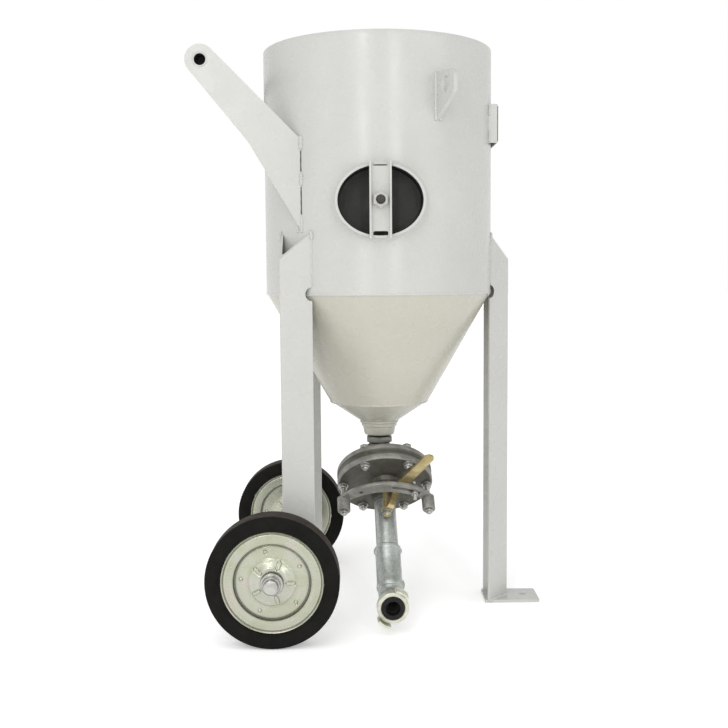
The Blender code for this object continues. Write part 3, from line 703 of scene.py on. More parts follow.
piece("plug_dome", lathe(offset(
    [(0, -32), (5.6, -32), (6.6, -31.4), (7, -30.4), (7, -1.5), (8, 0), (43, 0), (44.4, 0.8), (45, 2),
     (45, 3), (44.5, 3.4), (40, 6.9), (37.8, 8.6), (34, 11.2), (28, 15.4), (20, 21), (14, 25.1), (11, 27),
     (9, 28), (5, 29.2), (0, 29.8)], dz=PLUG_Z), 96), "rubber", nodes=["popup_plug"], body="plug", sharp=35)

# air pipe from the side socket up to the plug
pipe_path = [(0, y, AIR_Z) for y in (222, 130, 34)]
pipe_path += [(0, y, z) for y, z in arc(34, AIR_Z + 34, 34, -90, -180, 20)][1:] + [(0, 0, PLUG_Z - 0.6)]
piece("air_pipe", sweep(pipe_path, [13.5] * len(pipe_path), 48, bore=10.5), "steel",
      nodes=["air_standpipe"], sharp=40)
piece("air_socket", lathe(
    [(11.6, R - 0.6), (21, R - 0.6)]
    + offset([(21, -1.6), (20.4, -0.5), (19.4, 0), (13.2, 0), (12.2, -0.6), (11.4, -2)]
             + [(11 + 0.5 * (i % 2), -3.5 - 1.5 * i) for i in range(14)], dz=max(-air_lo.y, air_hi.y)), 72),
    "paint", AIR, ["air_inlet_socket"], sharp=40)
bead("air_socket_weld", [(x, -y, wall_at(x) + 0.6) for x, y in arc(0, 0, 21.5, 0, 360, 72)], 2.8, ripple=4,
     matrix=AIR)

# ---- handhole
piece("handhole_collar", slab(oval(0, 128), 200, HAND_FRONT, [oval(-5, 128)]), "paint", HAND,
      ["handhole_ring"], bevel=0.9, steps=3)


def saddle_weld(name, a, b, foot, rise, steps=160):
    """Smooth concave weld between the oval collar and the curved wall."""
    bm = bmesh.new()
    rings = [[] for _ in range(7)]
    for i in range(steps):
        t = radians(360 * i / steps)
        lump = 1 + 0.05 * sin(43 * t) + 0.04 * sin(17 * t)
        for k in range(6):
            s = k / 5
            grow = foot * lump * (1 - s)
            x = (a + grow) * cos(t)
            z = wall_at(x) - 0.4 + rise * lump * s - sin(pi * s) * 0.55
            rings[k].append(bm.verts.new((x, (b + grow) * sin(t), z)))
        x = (a - 2) * cos(t)
        rings[6].append(bm.verts.new((x, (b - 2) * sin(t), wall_at(x) - 2)))
    skin(bm, rings, True)
    piece(name, bm, "paint", HAND, sharp=60)


saddle_weld("handhole_weld", HAND_A, HAND_B, 6.5, 5.5)
sleeve = tool(slab(oval(-5.6, 96), 198, HAND_FRONT - 5, [oval(-7, 96)]), HAND)
piece("handhole_seal", slab(oval(3, 96), 196.7, 199.7, [oval(-7, 96)]), "rubber", HAND,
      ["handhole_gasket"], [sleeve], sharp=30)
CR = HAND_A + 5  # half width of the cover
piece("handhole_plate", lathe(
    [(0, 190), (CR - 1, 190), (CR, 190.8), (CR, 195.6), (CR - 1, 196.4), (CR - 14, 196.4), (CR - 17, 196),
     (CR - 20, 194.6), (CR - 24, 194.2), (30, 194.2), (22, 194.8), (17, 196.2), (14, 196.4),
     (0, 196.4)], 128),
    "cover", HAND @ Matrix.Diagonal((1, (HAND_B + 5) / CR, 1, 1)), ["handhole_cover"], sharp=30)

br_lo, br_hi = box("handhole_bridge")
h, BH, BD = half("handhole_bridge", X), br_hi.z - br_lo.z, br_hi.y - br_lo.y
BT, front = 4, -br_hi.y
web = front + BT
channel = rounded([(-h, front, 4.5), (h, front, 4.5), (h, front + BD, 1.2), (h - BT, front + BD, 1.2),
                   (h - BT, web, 2.5), (-h + BT, web, 2.5), (-h + BT, front + BD, 1.2),
                   (-h, front + BD, 1.2)], 1, 5)
cutters = [drill(9, 225, 260, HAND)]
for end, depth in ((1, 8), (-1, 13)):  # the notch is deeper at the lower end
    top, deep = end * (BH / 2 + 5), end * (BH / 2 - depth)
    notch = rounded([(-15.5, top, 0), (15.5, top, 0), (15.5, deep, 7), (-15.5, deep, 7)], 7, 8)
    cutters.append(tool(slab(notch, 225, web), HAND))
piece("clamp_bridge", slab(channel, -BH / 2, BH / 2), "paint", moved(AX, 0, HAND_Z) @ turned(180, "Z"),
      ["handhole_bridge"], cut=cutters, bevel=0.5, sharp=30)
STUD_END = -box("handhole_stud")[0].y
piece("clamp_stud", stack([("c", 8, 196.7), ("c", 8, 228)] + thread(8, 228, STUD_END - 2, 2)
                               + [("c", 7.2, STUD_END - 1), ("c", 6.4, STUD_END)], 48),
      "dark_stud", HAND, ["handhole_stud"], sharp=50)
piece("clamp_nut", stack(
    [("c", 13.4, web + GAP), ("c", 14.5, web + 0.8), ("c", 14.5, web + 2), ("c", 13.8, web + 2.5)]
    + hexagon(12, web + 2.5, web + 15.5), 72), "paint", HAND, ["handhole_nut"],
    cut=[drill(8.3, 230, 270, HAND)], sharp=30)

# ---- lifting lugs and rating plate
lug = rounded([(R - 0.5, 936, 0), (R + 58, 979, 7), (R + 58, 1019, 15), (R - 0.5, 1019, 0)], 5, 8)
for side, name in NEAR_FAR:
    place = TANK @ turned(side * 62, "Z") @ turned(90, "X")
    piece("lifting_eye_" + name, slab(lug, -4, 4, [circle(14, 64, 254, 995)]), "paint", place,
          ["lifting_lug_" + name], bevel=0.8, steps=3)
    for k, y in enumerate((-4.6, 4.6)):
        bead("lug_weld_%s_%d" % (name, k), [(R + 0.6, 935, y), (R + 0.6, 1020, y)], 3.2, ripple=4.5,
             matrix=place, wave=0.08)

rb_lo, rb_hi = box("rating_bracket")
UX, UY, UT = rb_hi.x - AX, rb_hi.y, 2
foot_x = wall_at(UY)
u_plate = rounded([(foot_x, -UY, 0), (UX, -UY, 4), (UX, UY, 4), (foot_x, UY, 0), (foot_x, UY - UT, 0),
                   (UX - UT, UY - UT, 2), (UX - UT, -UY + UT, 2), (foot_x, -UY + UT, 0)], 1, 6)
piece("plate_bracket", slab(u_plate, rb_lo.z, rb_hi.z), "paint", nodes=["rating_bracket"], bevel=0.4)
for k, y in enumerate((-UY - 0.5, UY + 0.5)):
    bead("bracket_weld_%d" % k, upright(foot_x + 1.2, y, rb_lo.z + 2, rb_lo.z + 22))
    bead("bracket_weld_%d_top" % k, upright(foot_x + 1.2, y, rb_hi.z - 22, rb_hi.z - 2))
rp_lo, rp_hi = box("rating_plate")
half_y, hz = rp_hi.y, half("rating_plate", Z)
PLATE = moved(rp_lo.x, 0, middle("rating_plate", Z)) @ turned(90, "Y")
SIGNS = ((-1, -1), (1, -1), (1, 1), (-1, 1))
piece("blank_plate", slab(rounded([(x * hz, y * half_y) for x, y in SIGNS], 3, 6), 0, 0.9), "plate", PLATE,
      ["rating_plate"], bevel=0.2)
inner = [(x * (hz - 5), y * (half_y - 5)) for x, y in SIGNS]
piece("plate_frame", slab(rounded([(x * 1.045, y * 1.02) for x, y in inner], 3, 6), 0.7, 1.2,
                               [rounded(inner, 2.5, 6)]), "steel", PLATE, bevel=0.12)
for k, (x, y) in enumerate(SIGNS):
    piece("plate_rivet_%d" % k, lathe([(0, 0), (1.9, 0), (1.8, 0.4), (1.1, 0.8), (0, 0.9)], 20), "steel",
          PLATE @ moved(x * (hz - 2.6), y * (half_y - 2.6), 0.6))

# ---- handle
arm_lo, arm_hi = box("handle_arm_near")
TX, TZ = middle("handle_bar", X) - AX, middle("handle_bar", Z)
BAR_R, be = half("handle_bar", Z), -box("handle_bar")[0].y
TIP_R = TX + AX - arm_lo.x
ARM_OUT, ARM_IN, ARM_LOW = -arm_lo.y, -arm_hi.y, arm_lo.z
knee = [(-146, ARM_LOW + 171), (-238, ARM_LOW + 163)]
up = Vector((knee[0][0] - TX, knee[0][1] - TZ))
up_deg = degrees(atan2(up.y, up.x)) + 90
low = Vector((knee[1][0] - TX, knee[1][1] - TZ))
low_deg = degrees(atan2(low.y, low.x)) - 90
reach = degrees(asin(TIP_R / low.length))
end_deg = low_deg + 360 - 360 * (low_deg > 0) + reach
arm = [(*p, 0) for p in arc(TX, TZ, TIP_R, up_deg - 6, end_deg, 40)]
arm += [(*knee[1], 26), (-142, ARM_LOW, 3), (-135, ARM_LOW + 2, 0), (-135, knee[0][1], 0), (*knee[0], 5)]
seam_bulge = [(R + GAP + x, SEAM_Z + z) for x, z in ellipse(7, 12.5, 32)[-8:] + ellipse(7, 12.5, 32)[:9]]
wall_cutter = tool(lathe([(0, SEAM_Z - 12.5)] + seam_bulge + [(R + 0.05, 1000), (0, 1000)], TURNS))
out_x, in_x = -wall_at(ARM_OUT + 0.4), -wall_at(ARM_IN - 0.4)
for side, tag in NEAR_FAR:
    y0, y1 = -side * ARM_IN, -side * ARM_OUT
    obj = as_object("handle_plate_" + tag, slab(rounded(arm, 3, 5), min(y0, y1), max(y0, y1),
                                                     [circle(BAR_R + 0.1, 64, TX, TZ)]),
                    TANK @ turned(90, "X"))
    carve(obj, [wall_cutter])
    dress(obj, "paint", nodes=["handle_arm_" + tag], bevel=0.7, steps=3)
    for k, (a, b, w) in enumerate(((-1, 30, 2.6), (84, 107, 4.2), (149, 174, 4.6))):
        bead("arm_weld_%s_%d" % (tag, k),
             upright(out_x - 0.3, side * (ARM_OUT - 0.2), ARM_LOW + a, ARM_LOW + b), w, ripple=5.6)
        bead("arm_weld_in_%s_%d" % (tag, k),
             upright(in_x - 0.3, side * (ARM_IN - 0.6), ARM_LOW + a, ARM_LOW + b), 2.6, ripple=4.6)
    for k, (a, b) in enumerate(((32, 82), (109, 147))):
        # the open joint between the welds: a dark strip painted in as the shade between plate and wall
        bead("arm_gap_shade_%s_%d" % (tag, k),
             upright(out_x - 1.2, side * (ARM_OUT - 0.8), ARM_LOW + a, ARM_LOW + b), 1.5, "plate", wave=0.05)
BAR = moved(TX + AX, 0, TZ) @ turned(90, "X")
piece("handle_tube", lathe(offset(
    [(0, -be + 0.7), (0, -ARM_IN), (0, 0), (0, ARM_IN), (0, be - 0.7), (-0.7, be), (-2.4, be), (-3, be - 0.7),
     (-3, -be + 0.7), (-2.4, -be), (-0.7, -be)], BAR_R), 72), "paint", BAR, ["handle_bar"], sharp=40)
for side, tag in NEAR_FAR:
    flip = BAR @ turned(0 if side < 0 else 180, "X")
    piece("bar_plug_" + tag, lathe(
        [(0, be - 30)]
        + offset([(-3.05, -30), (-3.05, -1.2), (-3.8, -0.8), (-4.6, -2), (-5, -22)], BAR_R, be)
        + [(0, be - 24)], 48), "rubber", flip)
    bead("bar_weld_in_" + tag, [(x, y, ARM_IN - 0.6) for x, y in arc(0, 0, BAR_R + 0.8, 0, 360, 60)], 2.6,
         ripple=4.2, matrix=flip)

# ---- legs, foot and axle
leg_hi = box("leg_front")[1]
c = leg_hi.x - AX  # the angle's corner
f = half("leg_front", Y)  # how far its flanges reach
s = 5 * sqrt(0.5)  # their thickness, seen along x or y
LEG_HIGH = leg_hi.z
angle = rounded([(c, 0, 3), (c - f, f, 1.2), (c - f - s, f - s, 3), (c - 2 * s, 0, 6),
                 (c - f - s, -f + s, 3), (c - f, -f, 1.2)], 1, 6)


def sliced(bm, point, normal, **side):
    """Cut a mesh by a plane and close it again."""
    bmesh.ops.bisect_plane(bm, geom=bm.verts[:] + bm.edges[:] + bm.faces[:], plane_co=point,
                           plane_no=Vector(normal).normalized(), **side)
    bmesh.ops.holes_fill(bm, edges=[e for e in bm.edges if e.is_boundary], sides=0)
    return bm


for node, azimuth in (("leg_front", 0), ("leg_rear_far", 135), ("leg_rear_near", 225)):
    low_z = box(node)[0].z - (0.1 if node == "leg_front" else 0)
    place = TANK @ turned(azimuth, "Z")
    leg = as_object(node + "_angle", sliced(slab(angle, low_z, 760), (c, 0, LEG_HIGH - 50), (50, 0, f),
                                            clear_outer=True), place)
    carve(leg, [wall_cutter])
    dress(leg, "paint", nodes=[node], bevel=0.35, sharp=40)
    for k, side in enumerate((-1, 1)):
        # the toe of each flange is welded to the wall on its outer side
        ey = f + 0.4
        ex = wall_at(ey) + 0.5
        bead("%s_weld_%d" % (node, k), upright(ex - 0.6, side * (ey - 0.5), SEAM_Z + 16, LEG_HIGH - 4), 1.9,
             ripple=6, matrix=place, wave=0.1)
        # and along its sloping top
        path = upright(ex, side * (ey + 0.4), LEG_HIGH - 13, LEG_HIGH - 3)
        for i in range(3):
            y = (f - 1) * (1 - 0.55 * i / 12)
            path.append((wall_at(y) + 0.9, side * y, LEG_HIGH + 0.6))
        bead("%s_cap_%d" % (node, k), path, 3.8, ripple=5.2, matrix=place)

foot_lo, foot_hi = box("foot_plate")
foot = rounded([(foot_lo.x - AX, -foot_hi.y, 2), (foot_hi.x - AX, -foot_hi.y, 5),
                (foot_hi.x - AX, foot_hi.y, 5), (foot_lo.x - AX, foot_hi.y, 2)], 4, 6)
piece("foot_base_plate", slab(foot, 0, foot_hi.z, [circle(6.5, 48, 292, 0)]), "paint",
      nodes=["foot_plate"], bevel=0.7, steps=3)
weld_z = foot_hi.z + 0.5
for k, side in enumerate((-1, 1)):
    bead("foot_weld_%d" % k, [(c - 1 - f * q + 1.2, side * (f * q + 0.6), weld_z)
                              for q in (0.04, 0.3, 0.6, 0.97)], 3, ripple=4.6)
    bead("foot_weld_in_%d" % k, [(c - 2 * s - 1 - (f - s) * q, side * ((f - s) * q + 0.2), weld_z)
                                 for q in (0.1, 0.4, 0.7, 0.95)], 2.4, ripple=4.6)

AXLE = moved(WHEEL_X, 0, WHEEL_R) @ turned(90, "X")
ae = half("axle", Y)
piece("axle_bar", lathe(
    [(0, -ae)] + offset([(-1.6, -ae), (-0.4, -ae + 0.6), (0, -ae + 1.8), (0, -200), (0, 0), (0, 200),
                         (0, ae - 1.8), (-0.4, ae - 0.6), (-1.6, ae)], AXLE_R) + [(0, ae)], 72),
    "steel", AXLE, ["axle"], sharp=40)
for tag in ("near", "far"):
    lo, hi = box("leg_rear_" + tag)
    for k, y in enumerate((lo.y + 1.2, hi.y - 1)):
        bead("axle_weld_%s_%d" % (tag, k), [(*polar(AXLE_R + 1.6, a), -y) for a in range(20, 161, 7)], 2.4,
             ripple=4.2, matrix=AXLE)
drop(wall_cutter)

# ---- wheels
def smooth(points, x):
    """Smooth interpolation through (x, y) points."""
    for (x0, y0), (x1, y1) in zip(points, points[1:]):
        if x <= x1:
            t = max(0, (x - x0) / (x1 - x0))
            return y0 + (y1 - y0) * t * t * (3 - 2 * t)
    return points[-1][1]


BUMPS = [30 + 72 * i for i in range(5)]
SLOTS = [-3 + 72 * i for i in range(5)]
FACE = [(18.6, 20.8), (21, 21), (24, 20.8), (40.5, 16.6), (44, 14.8), (47, 14.6), (65.4, 14.6), (66.6, 13.6),
        (67.8, 13.6), (69.8, 18.6), (73, 19), (84, 19.4), (86.5, 19.3), (88, 18), (89.6, 20.4), (91, 21.4),
        (DISC_R, 20.8)]


def disc_z(r, deg):
    z = smooth(FACE, r)
    x, y = polar(r, deg)
    for b in BUMPS:
        bump_x, bump_y = polar(56, b)
        d = hypot(x - bump_x, y - bump_y)
        if d < 4.6:
            z += 2.2 * smooth([(0, 1), (2.2, 0.9), (3.9, 0)], d) - (0.5 if 3.7 < d else 0)
    for b in SLOTS:
        along, across = polar(r, deg - b)
        d = hypot(max(0, abs(along - 33) - 5), across) if along > 0 else 99
        if d < 5.4:
            z += smooth([(0, 1.5), (2.6, 1.4), (3.9, -0.7), (4.6, -0.7), (5.4, 0)], d)
    return z


def disc_template(n=288):
    bm = bmesh.new()
    degs = [360 * i / n for i in range(n)]
    radii = sorted({18.6, 20, 21, 43.2, 44, 45, 47, 49, 64, 65.4, 65.8, 66.2, 66.6, 67.2, 67.8, 68.3, 68.8,
                    69.3, 69.8, 70.4, 73, 78, 84, 85.5, 86.5, 87.2, 88, 88.7, 89.6, 90.3, 91, 91.6, DISC_R,
                    *(22 + 0.8 * i for i in range(26)), *(50.5 + 0.8 * i for i in range(15))})
    rings = [[bm.verts.new((*polar(r, d), disc_z(r, d))) for d in degs] for r in radii]
    for r, z in ((DISC_R, 0.2), (DISC_R - 1.8, 0.2), (DISC_R - 1.8, 18.4), (84, 17.6), (72, 16.4),
                 (69.4, 13.4), (66.6, 12.2), (63, 12.4), (47, 12.6), (43, 12.8), (38, 14.6), (27, 17),
                 (18.6, 18.2)):
        rings.append([bm.verts.new((*polar(r, d), z)) for d in degs])
    skin(bm, rings, True)
    return as_object("disc_template", bm, Matrix())


def mirrored(profile):
    return [(r, -z) for r, z in reversed(profile)]


template = disc_template()
tyre_half = offset([(-1.4, 20.5), (-0.6, 22), (-0.9, 23.2), (-1.9, 24.3), (-3.6, HALF_W - 0.1),
                    (-5.4, HALF_W), (-8, HALF_W)], WHEEL_R)
tyre_half += offset([(5.5, 0), (4.6, -0.8), (3.4, -0.8), (2.6, -0.1), (1.2, -0.4), (0.5, -1.8)],
                    DISC_R, HALF_W)
crown_half = offset([(-0.7, 22), (-0.15, 20.6), (-0.02, 18), (-0.02, 8)], WHEEL_R)
crown = crown_half + [(WHEEL_R - 0.02, 0)] + mirrored(crown_half) + [(WHEEL_R - 3, -21), (WHEEL_R - 3, 21)]
for side, tag in NEAR_FAR:
    body = "wheel_" + tag
    hub = moved(WHEEL_X, side * WHEEL_Y, WHEEL_R)
    out, back = hub @ turned(-90 * side, "X"), hub @ turned(90 * side, "X")
    piece("tyre_body_" + tag, lathe(tyre_half + mirrored(tyre_half), 144), "tyre", out, ["tyre_" + tag],
          body=body, sharp=50)
    piece("tyre_crown_" + tag, lathe(crown, 144), "tread", out, body=body, sharp=60)
    for place, name, node in ((out, "disc_face_", "wheel_disc_outer_"),
                              (back, "disc_back_", "wheel_disc_inner_")):
        obj = bpy.data.objects.new(name + tag, template.data.copy())
        obj.data.transform(Matrix.Scale(UNIT, 4) @ place @ Matrix.Scale(1 / UNIT, 4))
        link(obj)
        dress(obj, "zinc_disc", body=body, nodes=[node + tag], sharp=38)
    piece("hub_tube_" + tag, lathe(
        [(18.3, -25.4), (18.3, 25.4), (17.8, 26.4), (16.8, 27), (14, 27), (13, 26.4), (AXLE_R + 0.3, 25),
         (AXLE_R + 0.3, -25), (13, -26.4), (14, -27), (16.8, -27), (17.8, -26.4)], 72), "cast", out,
        ["wheel_hub_" + tag], body=body, sharp=35)
    piece("axle_ring_" + tag, lathe(
        [(AXLE_R + 0.1, 27.8), (19.4, 27.8), (20, 28.4), (20, 30.2), (19.4, 30.8), (17, 30.9), (16.5, 31.5),
         (16.5, 39.6), (16.1, 41), (15, 42), (AXLE_R + 0.8, 42), (AXLE_R + 0.1, 41.2)], 72), "steel", out,
        ["axle_collar_" + tag], sharp=35)
drop(template)

# ---- nipple and metering valve
nip_lo, nip_hi = box("nipple")
nz, z = nip_lo.z, nip_lo.z + 20
nipple = [(21, nz), (21, z)]
while z < nip_hi.z - 4:
    nipple += [(20.9, z + 0.5), (19.9, z + 1.3)]
    z += 1.8
nipple += [(20.6, nip_hi.z - 1.5), (19.6, nip_hi.z), (17, nip_hi.z), (17, nz)]
# the nipple's dark thread material is partly its own dark steel, partly painted shade in the gaps above and
# below the ring nut
piece("threaded_nipple", lathe(nipple, 72), "dark_thread", nodes=["nipple"], sharp=25)
lock_lo, lock_hi = box("lock_nut")
piece("ring_nut", stack(
    [("c", 22.5, lock_lo.z), ("k", 24.2, lock_lo.z + 0.6), ("h", 25, lock_lo.z + 2), ("h", 25, lock_hi.z - 2),
     ("k", 24.2, lock_hi.z - 0.6), ("c", 22.5, lock_hi.z)], 96), "cast_light", nodes=["lock_nut"],
    cut=[drill(21.2, 300, 350, n=64)], sharp=30)

# the valve's own frame: x to the right, y up, z out of its face
FLANGE_R, BOLT_R = 95, 83.5
PIPE_E, PIPE_R, PIPE_BORE = -35, 21.3, 17
BACK, MIDDLE, FRONT = -37, -21, -14  # rear plate's faces, front plate's joint face
on_pipe = VALVE @ moved(0, PIPE_E, 0)
bolt_spots = [polar(BOLT_R, a) for a in range(0, 360, 60)]
holes = [circle(5.6, 24, x, y) for x, y in bolt_spots]


def bolt_drills():
    return [tool(slab(outline, -50, 10), VALVE) for outline in holes]


neck = tool(sliced(
    lathe([(0, 180), (26, 180), (26, nz + 13), (25.6, nz + 15.4), (24.4, nz + 16.8), (23.2, nz + 17),
                (0, nz + 17)], 72), (VALVE_C.x - AX, VALVE_C.y, VALVE_C.z + 41),
    Matrix.Rotation(VALVE_YAW, 3, "Z") @ Vector((0, 1, 1)), clear_inner=True))
piece("valve_back", lathe(
    [(0, BACK), (60, BACK), (70, BACK + 0.6)]
    + offset([(-4, 1.2), (-1.5, 2.2), (-0.3, 4), (0, 6.5)], FLANGE_R, BACK)
    + offset([(0, -3), (-0.5, -1.4), (-2, 0)], FLANGE_R, MIDDLE) + [(0, MIDDLE)], 144), "cast", VALVE,
    ["valve_rear_body"], [neck], [drill(12, 150, 310), drill(21.1, nz - 2, nz + 30, n=64), *bolt_drills()],
    sharp=32)
piece("valve_seal", slab(circle(FLANGE_R - 1.2, 144), MIDDLE + 0.1, FRONT - 0.1, [circle(59, 72)] + holes),
      "cast", VALVE, ["valve_gasket"], bevel=0.8)
piece("orifice_disc", slab(circle(57.5, 96), MIDDLE + 0.6, FRONT - 0.6,
                                [circle(6.3, 32), circle(12, 48, 0, PIPE_E)]), "steel", VALVE,
      ["metering_disc"], body="metering", bevel=0.4)
boss = tool(lathe([(0, -6), (37, -6), (36.4, -1.2), (35, -0.2), (34, 1.2), (33.2, 6), (32, 7.4), (30, 8),
                        (0, 8)], 72), VALVE)
spigot = tool(lathe([(0, -6.5), (29, -6.5), (28, -0.6), (26.8, 0.6), (26, 3), (26, 17), (25.3, 19),
                          (23.6, 20), (0, 20)], 72), on_pipe)
pads = [tool(lathe([(0, -6), (11, -6), (10.6, -1), (9.8, 0.15), (0, 0.2)], 36), VALVE @ moved(x, y, 0))
        for x, y in bolt_spots]
piece("valve_face", lathe(
    [(0, FRONT)]
    + offset([(-1.6, FRONT), (-0.4, FRONT + 1.2), (0, FRONT + 3), (0, -3.4), (-0.6, -1.6), (-2.2, -0.3),
              (-4, 0), (-6.4, -0.1), (-7.4, -0.7)], FLANGE_R) + [(0, -0.7)], 144), "cast", VALVE,
    ["valve_front_body"], [boss, spigot, *pads],
    [drill(6.3, -30, 30, VALVE), drill(PIPE_BORE, -30, 30, VALVE, 48, 0, PIPE_E),
     drill(PIPE_R + 0.1, 4, 30, VALVE, 64, 0, PIPE_E), *bolt_drills()], sharp=32)
RIM = FLANGE_R + 0.02  # a lighter shell painted on the flanges' edges as a highlight, just proud of the castings
piece("front_rim_highlight", lathe(offset(
    [(-3.2, -0.32), (-2.2, -0.12), (-0.7, -1.3), (0, -3.2), (0, FRONT + 3.2), (-0.4, FRONT + 1.2),
     (-3, FRONT + 2.4)], RIM), 144), "cast_light", VALVE, sharp=40)
# the back flange's edge, painted lighter as a highlight
piece("back_rim_highlight", lathe(
    offset([(-3.2, -1), (-0.5, -1.5), (0, -3.2)], RIM, MIDDLE)
    + offset([(0, 6.6), (-0.3, 3.9), (-1.5, 2.1), (-4, 1.1), (-20, 0.5), (-20, 3)], RIM, BACK), 144),
    "cast_light", VALVE, sharp=40)


def fastener(name, x, y, top, node):
    """A through bolt: hexagon head behind, washer, nut and threaded end in front."""
    stations = hexagon(8.5, -43.8, BACK - 0.1) + [("c", 5, BACK - 0.1), ("c", 5, GAP)]
    stations += [("c", 10.2, GAP), ("c", 10.4, GAP + 0.4), ("c", 10.2, GAP + 1.4)]
    stations += hexagon(8, GAP + 1.4, 7.9)
    piece(name, stack(stations + top, 72), "steel", VALVE @ moved(x, y, 0), [node], sharp=30)


for deg in (60, 120, 240, 300):
    fastener("valve_bolt_%d" % deg, *polar(BOLT_R, deg), thread(5, 7.9, 11.2, 1.1) + [("c", 4, 11.5)],
             "flange_bolt_%d" % deg)
for x, tag in ((BOLT_R, "right"), (-BOLT_R, "left")):
    fastener("valve_stud_" + tag, x, 0, thread(5, 7.9, 29, 1.3) + [("c", 5, 60.3)] + hexagon(7.2, 60.3, 65)
             + thread(5, 65, 67.4, 1.1) + [("c", 4.2, 68)], "bracket_stud_" + tag)

# arched quadrant plate with its slot, on two tubular feet
BRACKET_T = (28, 35)
OUT_C, OUT_R, IN_C, IN_R = -54.3, 110.3, -79.8, 106.8
out_deg = degrees(asin(-OUT_C / OUT_R))
in_deg = degrees(asin(-IN_C / IN_R))
quad = arc(0, OUT_C, OUT_R, out_deg, 180 - out_deg, 48) + arc(-BOLT_R, 0, 13, 180, 360, 20)[1:-1]
quad += arc(0, IN_C, IN_R, 180 - in_deg, in_deg, 40) + arc(BOLT_R, 0, 13, 180, 360, 20)[1:-1]
SLOT_C, SLOT_R = -64.3, 105.8


def slot_outline(x0, x1, width):
    d0, d1 = (degrees(acos(x / SLOT_R)) for x in (x0, x1))
    start, end = (polar(SLOT_R, d, 0, SLOT_C) for d in (d0, d1))
    out = arc(0, SLOT_C, SLOT_R + width / 2, d1, d0, 20)
    out += arc(*start, width / 2, d0, d0 + 180, 12)[1:-1]
    out += arc(0, SLOT_C, SLOT_R - width / 2, d0, d1, 20)
    return out + arc(*end, width / 2, d1 + 180, d1 + 360, 12)[1:-1]


quadrant = as_object("quadrant_plate", slab(quad, *BRACKET_T, [slot_outline(14, 62, 8.4),
                                                                   circle(3.5, 24, -50, 27)]), VALVE)
bevelled(quadrant, 1.4, 3, 50)
feet = [tool(lathe([(0, 30), (12.6, 30), (12.6, 57.6), (12.2, 59.2), (11, 60), (0, 60)], 60),
             VALVE @ moved(x, 0, 0)) for x in (-BOLT_R, BOLT_R)]
bores = [drill(5.2, 20, 64, VALVE, 36, x, 0) for x in (-BOLT_R, BOLT_R)]
carve(quadrant, feet, "UNION")
carve(quadrant, bores)
drop(*feet, *bores)
dress(quadrant, "cast_light", nodes=["quadrant_bracket"], sharp=32)
STOP_X = 55
STOP_E = SLOT_C + sqrt(SLOT_R ** 2 - STOP_X ** 2)
low, high = BRACKET_T[0] - 0.1, BRACKET_T[1] + 0.1
piece("stop_screw", stack(
    thread(3.9, 12, 19.5, 1.1) + hexagon(6.5, 19.5, low) + [("c", 3.8, low), ("c", 3.8, high)]
    + hexagon(6.5, high, 41.5) + thread(3.9, 41.5, 51.4, 1.1) + [("c", 3, 52)], 72), "steel",
    VALVE @ moved(STOP_X, STOP_E, 0), ["stop_bolt"], sharp=30)

# spindle, nut and cranked hand lever
piece("valve_spindle", stack(
    [("c", 5.4, -20.4), ("c", 6, -19.8), ("c", 6, 52)] + thread(6, 52, 70.4, 1.4)
    + [("c", 5.2, 71.2), ("c", 4.6, 72)], 60), "yellow_zinc", LEVER, ["spindle"], body="metering", sharp=30)
LEVER_T, HUB_R, HUB_T = 5, 11, 58.5
LEVER_END, SIDE, GRIP_T = 148.5, -13.6, 17.5
# stations along the lever: distance, height, half width, slope in degrees, sideways shift
stations = []
for i in range(1, 13):
    x, y = polar(HUB_R, 180 - 7.5 * i)
    stations.append((x, HUB_T, y, 0, 0))
stations += [(4, HUB_T, 10.6, 0, 0), (8, HUB_T, 9.8, 0, 0), (11, HUB_T, 8.8, -8, -0.1),
             (12.7, HUB_T - 0.4, 7.8, -26, -0.3), (14.1, HUB_T - 1.5, 7.1, -50, -0.8),
             (14.8, HUB_T - 3.1, 6.7, -74, -1.5), (15, HUB_T - 5, 6.5, -87, -2.2),
             (15.6, 31, 6.5, -87, -10.8), (16, 27.6, 6.5, -80, -12), (17.2, 24.2, 6.6, -64, -12.8),
             (19, 21.4, 7, -48, -13.2), (21.6, 19.2, 7.5, -30, -13.4), (25, 17.9, 8, -13, -13.6),
             (30, GRIP_T, 9.2, 0, SIDE), (37, GRIP_T, 10.6, 0, SIDE), (46, GRIP_T, 11.4, 0, SIDE)]
stations += [(46 + (LEVER_END - 56) * i / 8, GRIP_T, 11.4 - 1.4 * i / 8, 0, SIDE) for i in range(1, 9)]
for i in range(1, 12):
    x, y = polar(10, 90 - 7.5 * i)
    stations.append((LEVER_END - 10 + x, GRIP_T, y, 0, SIDE))
bm = bmesh.new()
rings = []
for u, t, w, deg, v in stations:
    nt, nu = polar(LEVER_T / 2, -deg)
    rings.append([bm.verts.new(p) for p in ((u + nu, v + w, t + nt), (u + nu, v - w, t + nt),
                                            (u - nu, v - w, t - nt), (u - nu, v + w, t - nt))])
skin(bm, rings, False)
bm.faces.new(rings[0])
bm.faces.new(rings[-1])
piece("lever_nut", stack(
    [("c", 9.8, 61.3), ("c", 10.5, 61.8), ("c", 10.5, 62.6), ("c", 9.8, 63)] + hexagon(8.5, 63, 70), 72),
    "steel", LEVER, ["spindle_nut"], cut=[drill(6.1, 50, 80, LEVER)], body="metering", sharp=30)
piece("hand_lever", bm, "yellow_zinc", LEVER, ["lever"], cut=[drill(6.1, 50, 80, LEVER)], body="metering",
      bevel=0.7, steps=3)

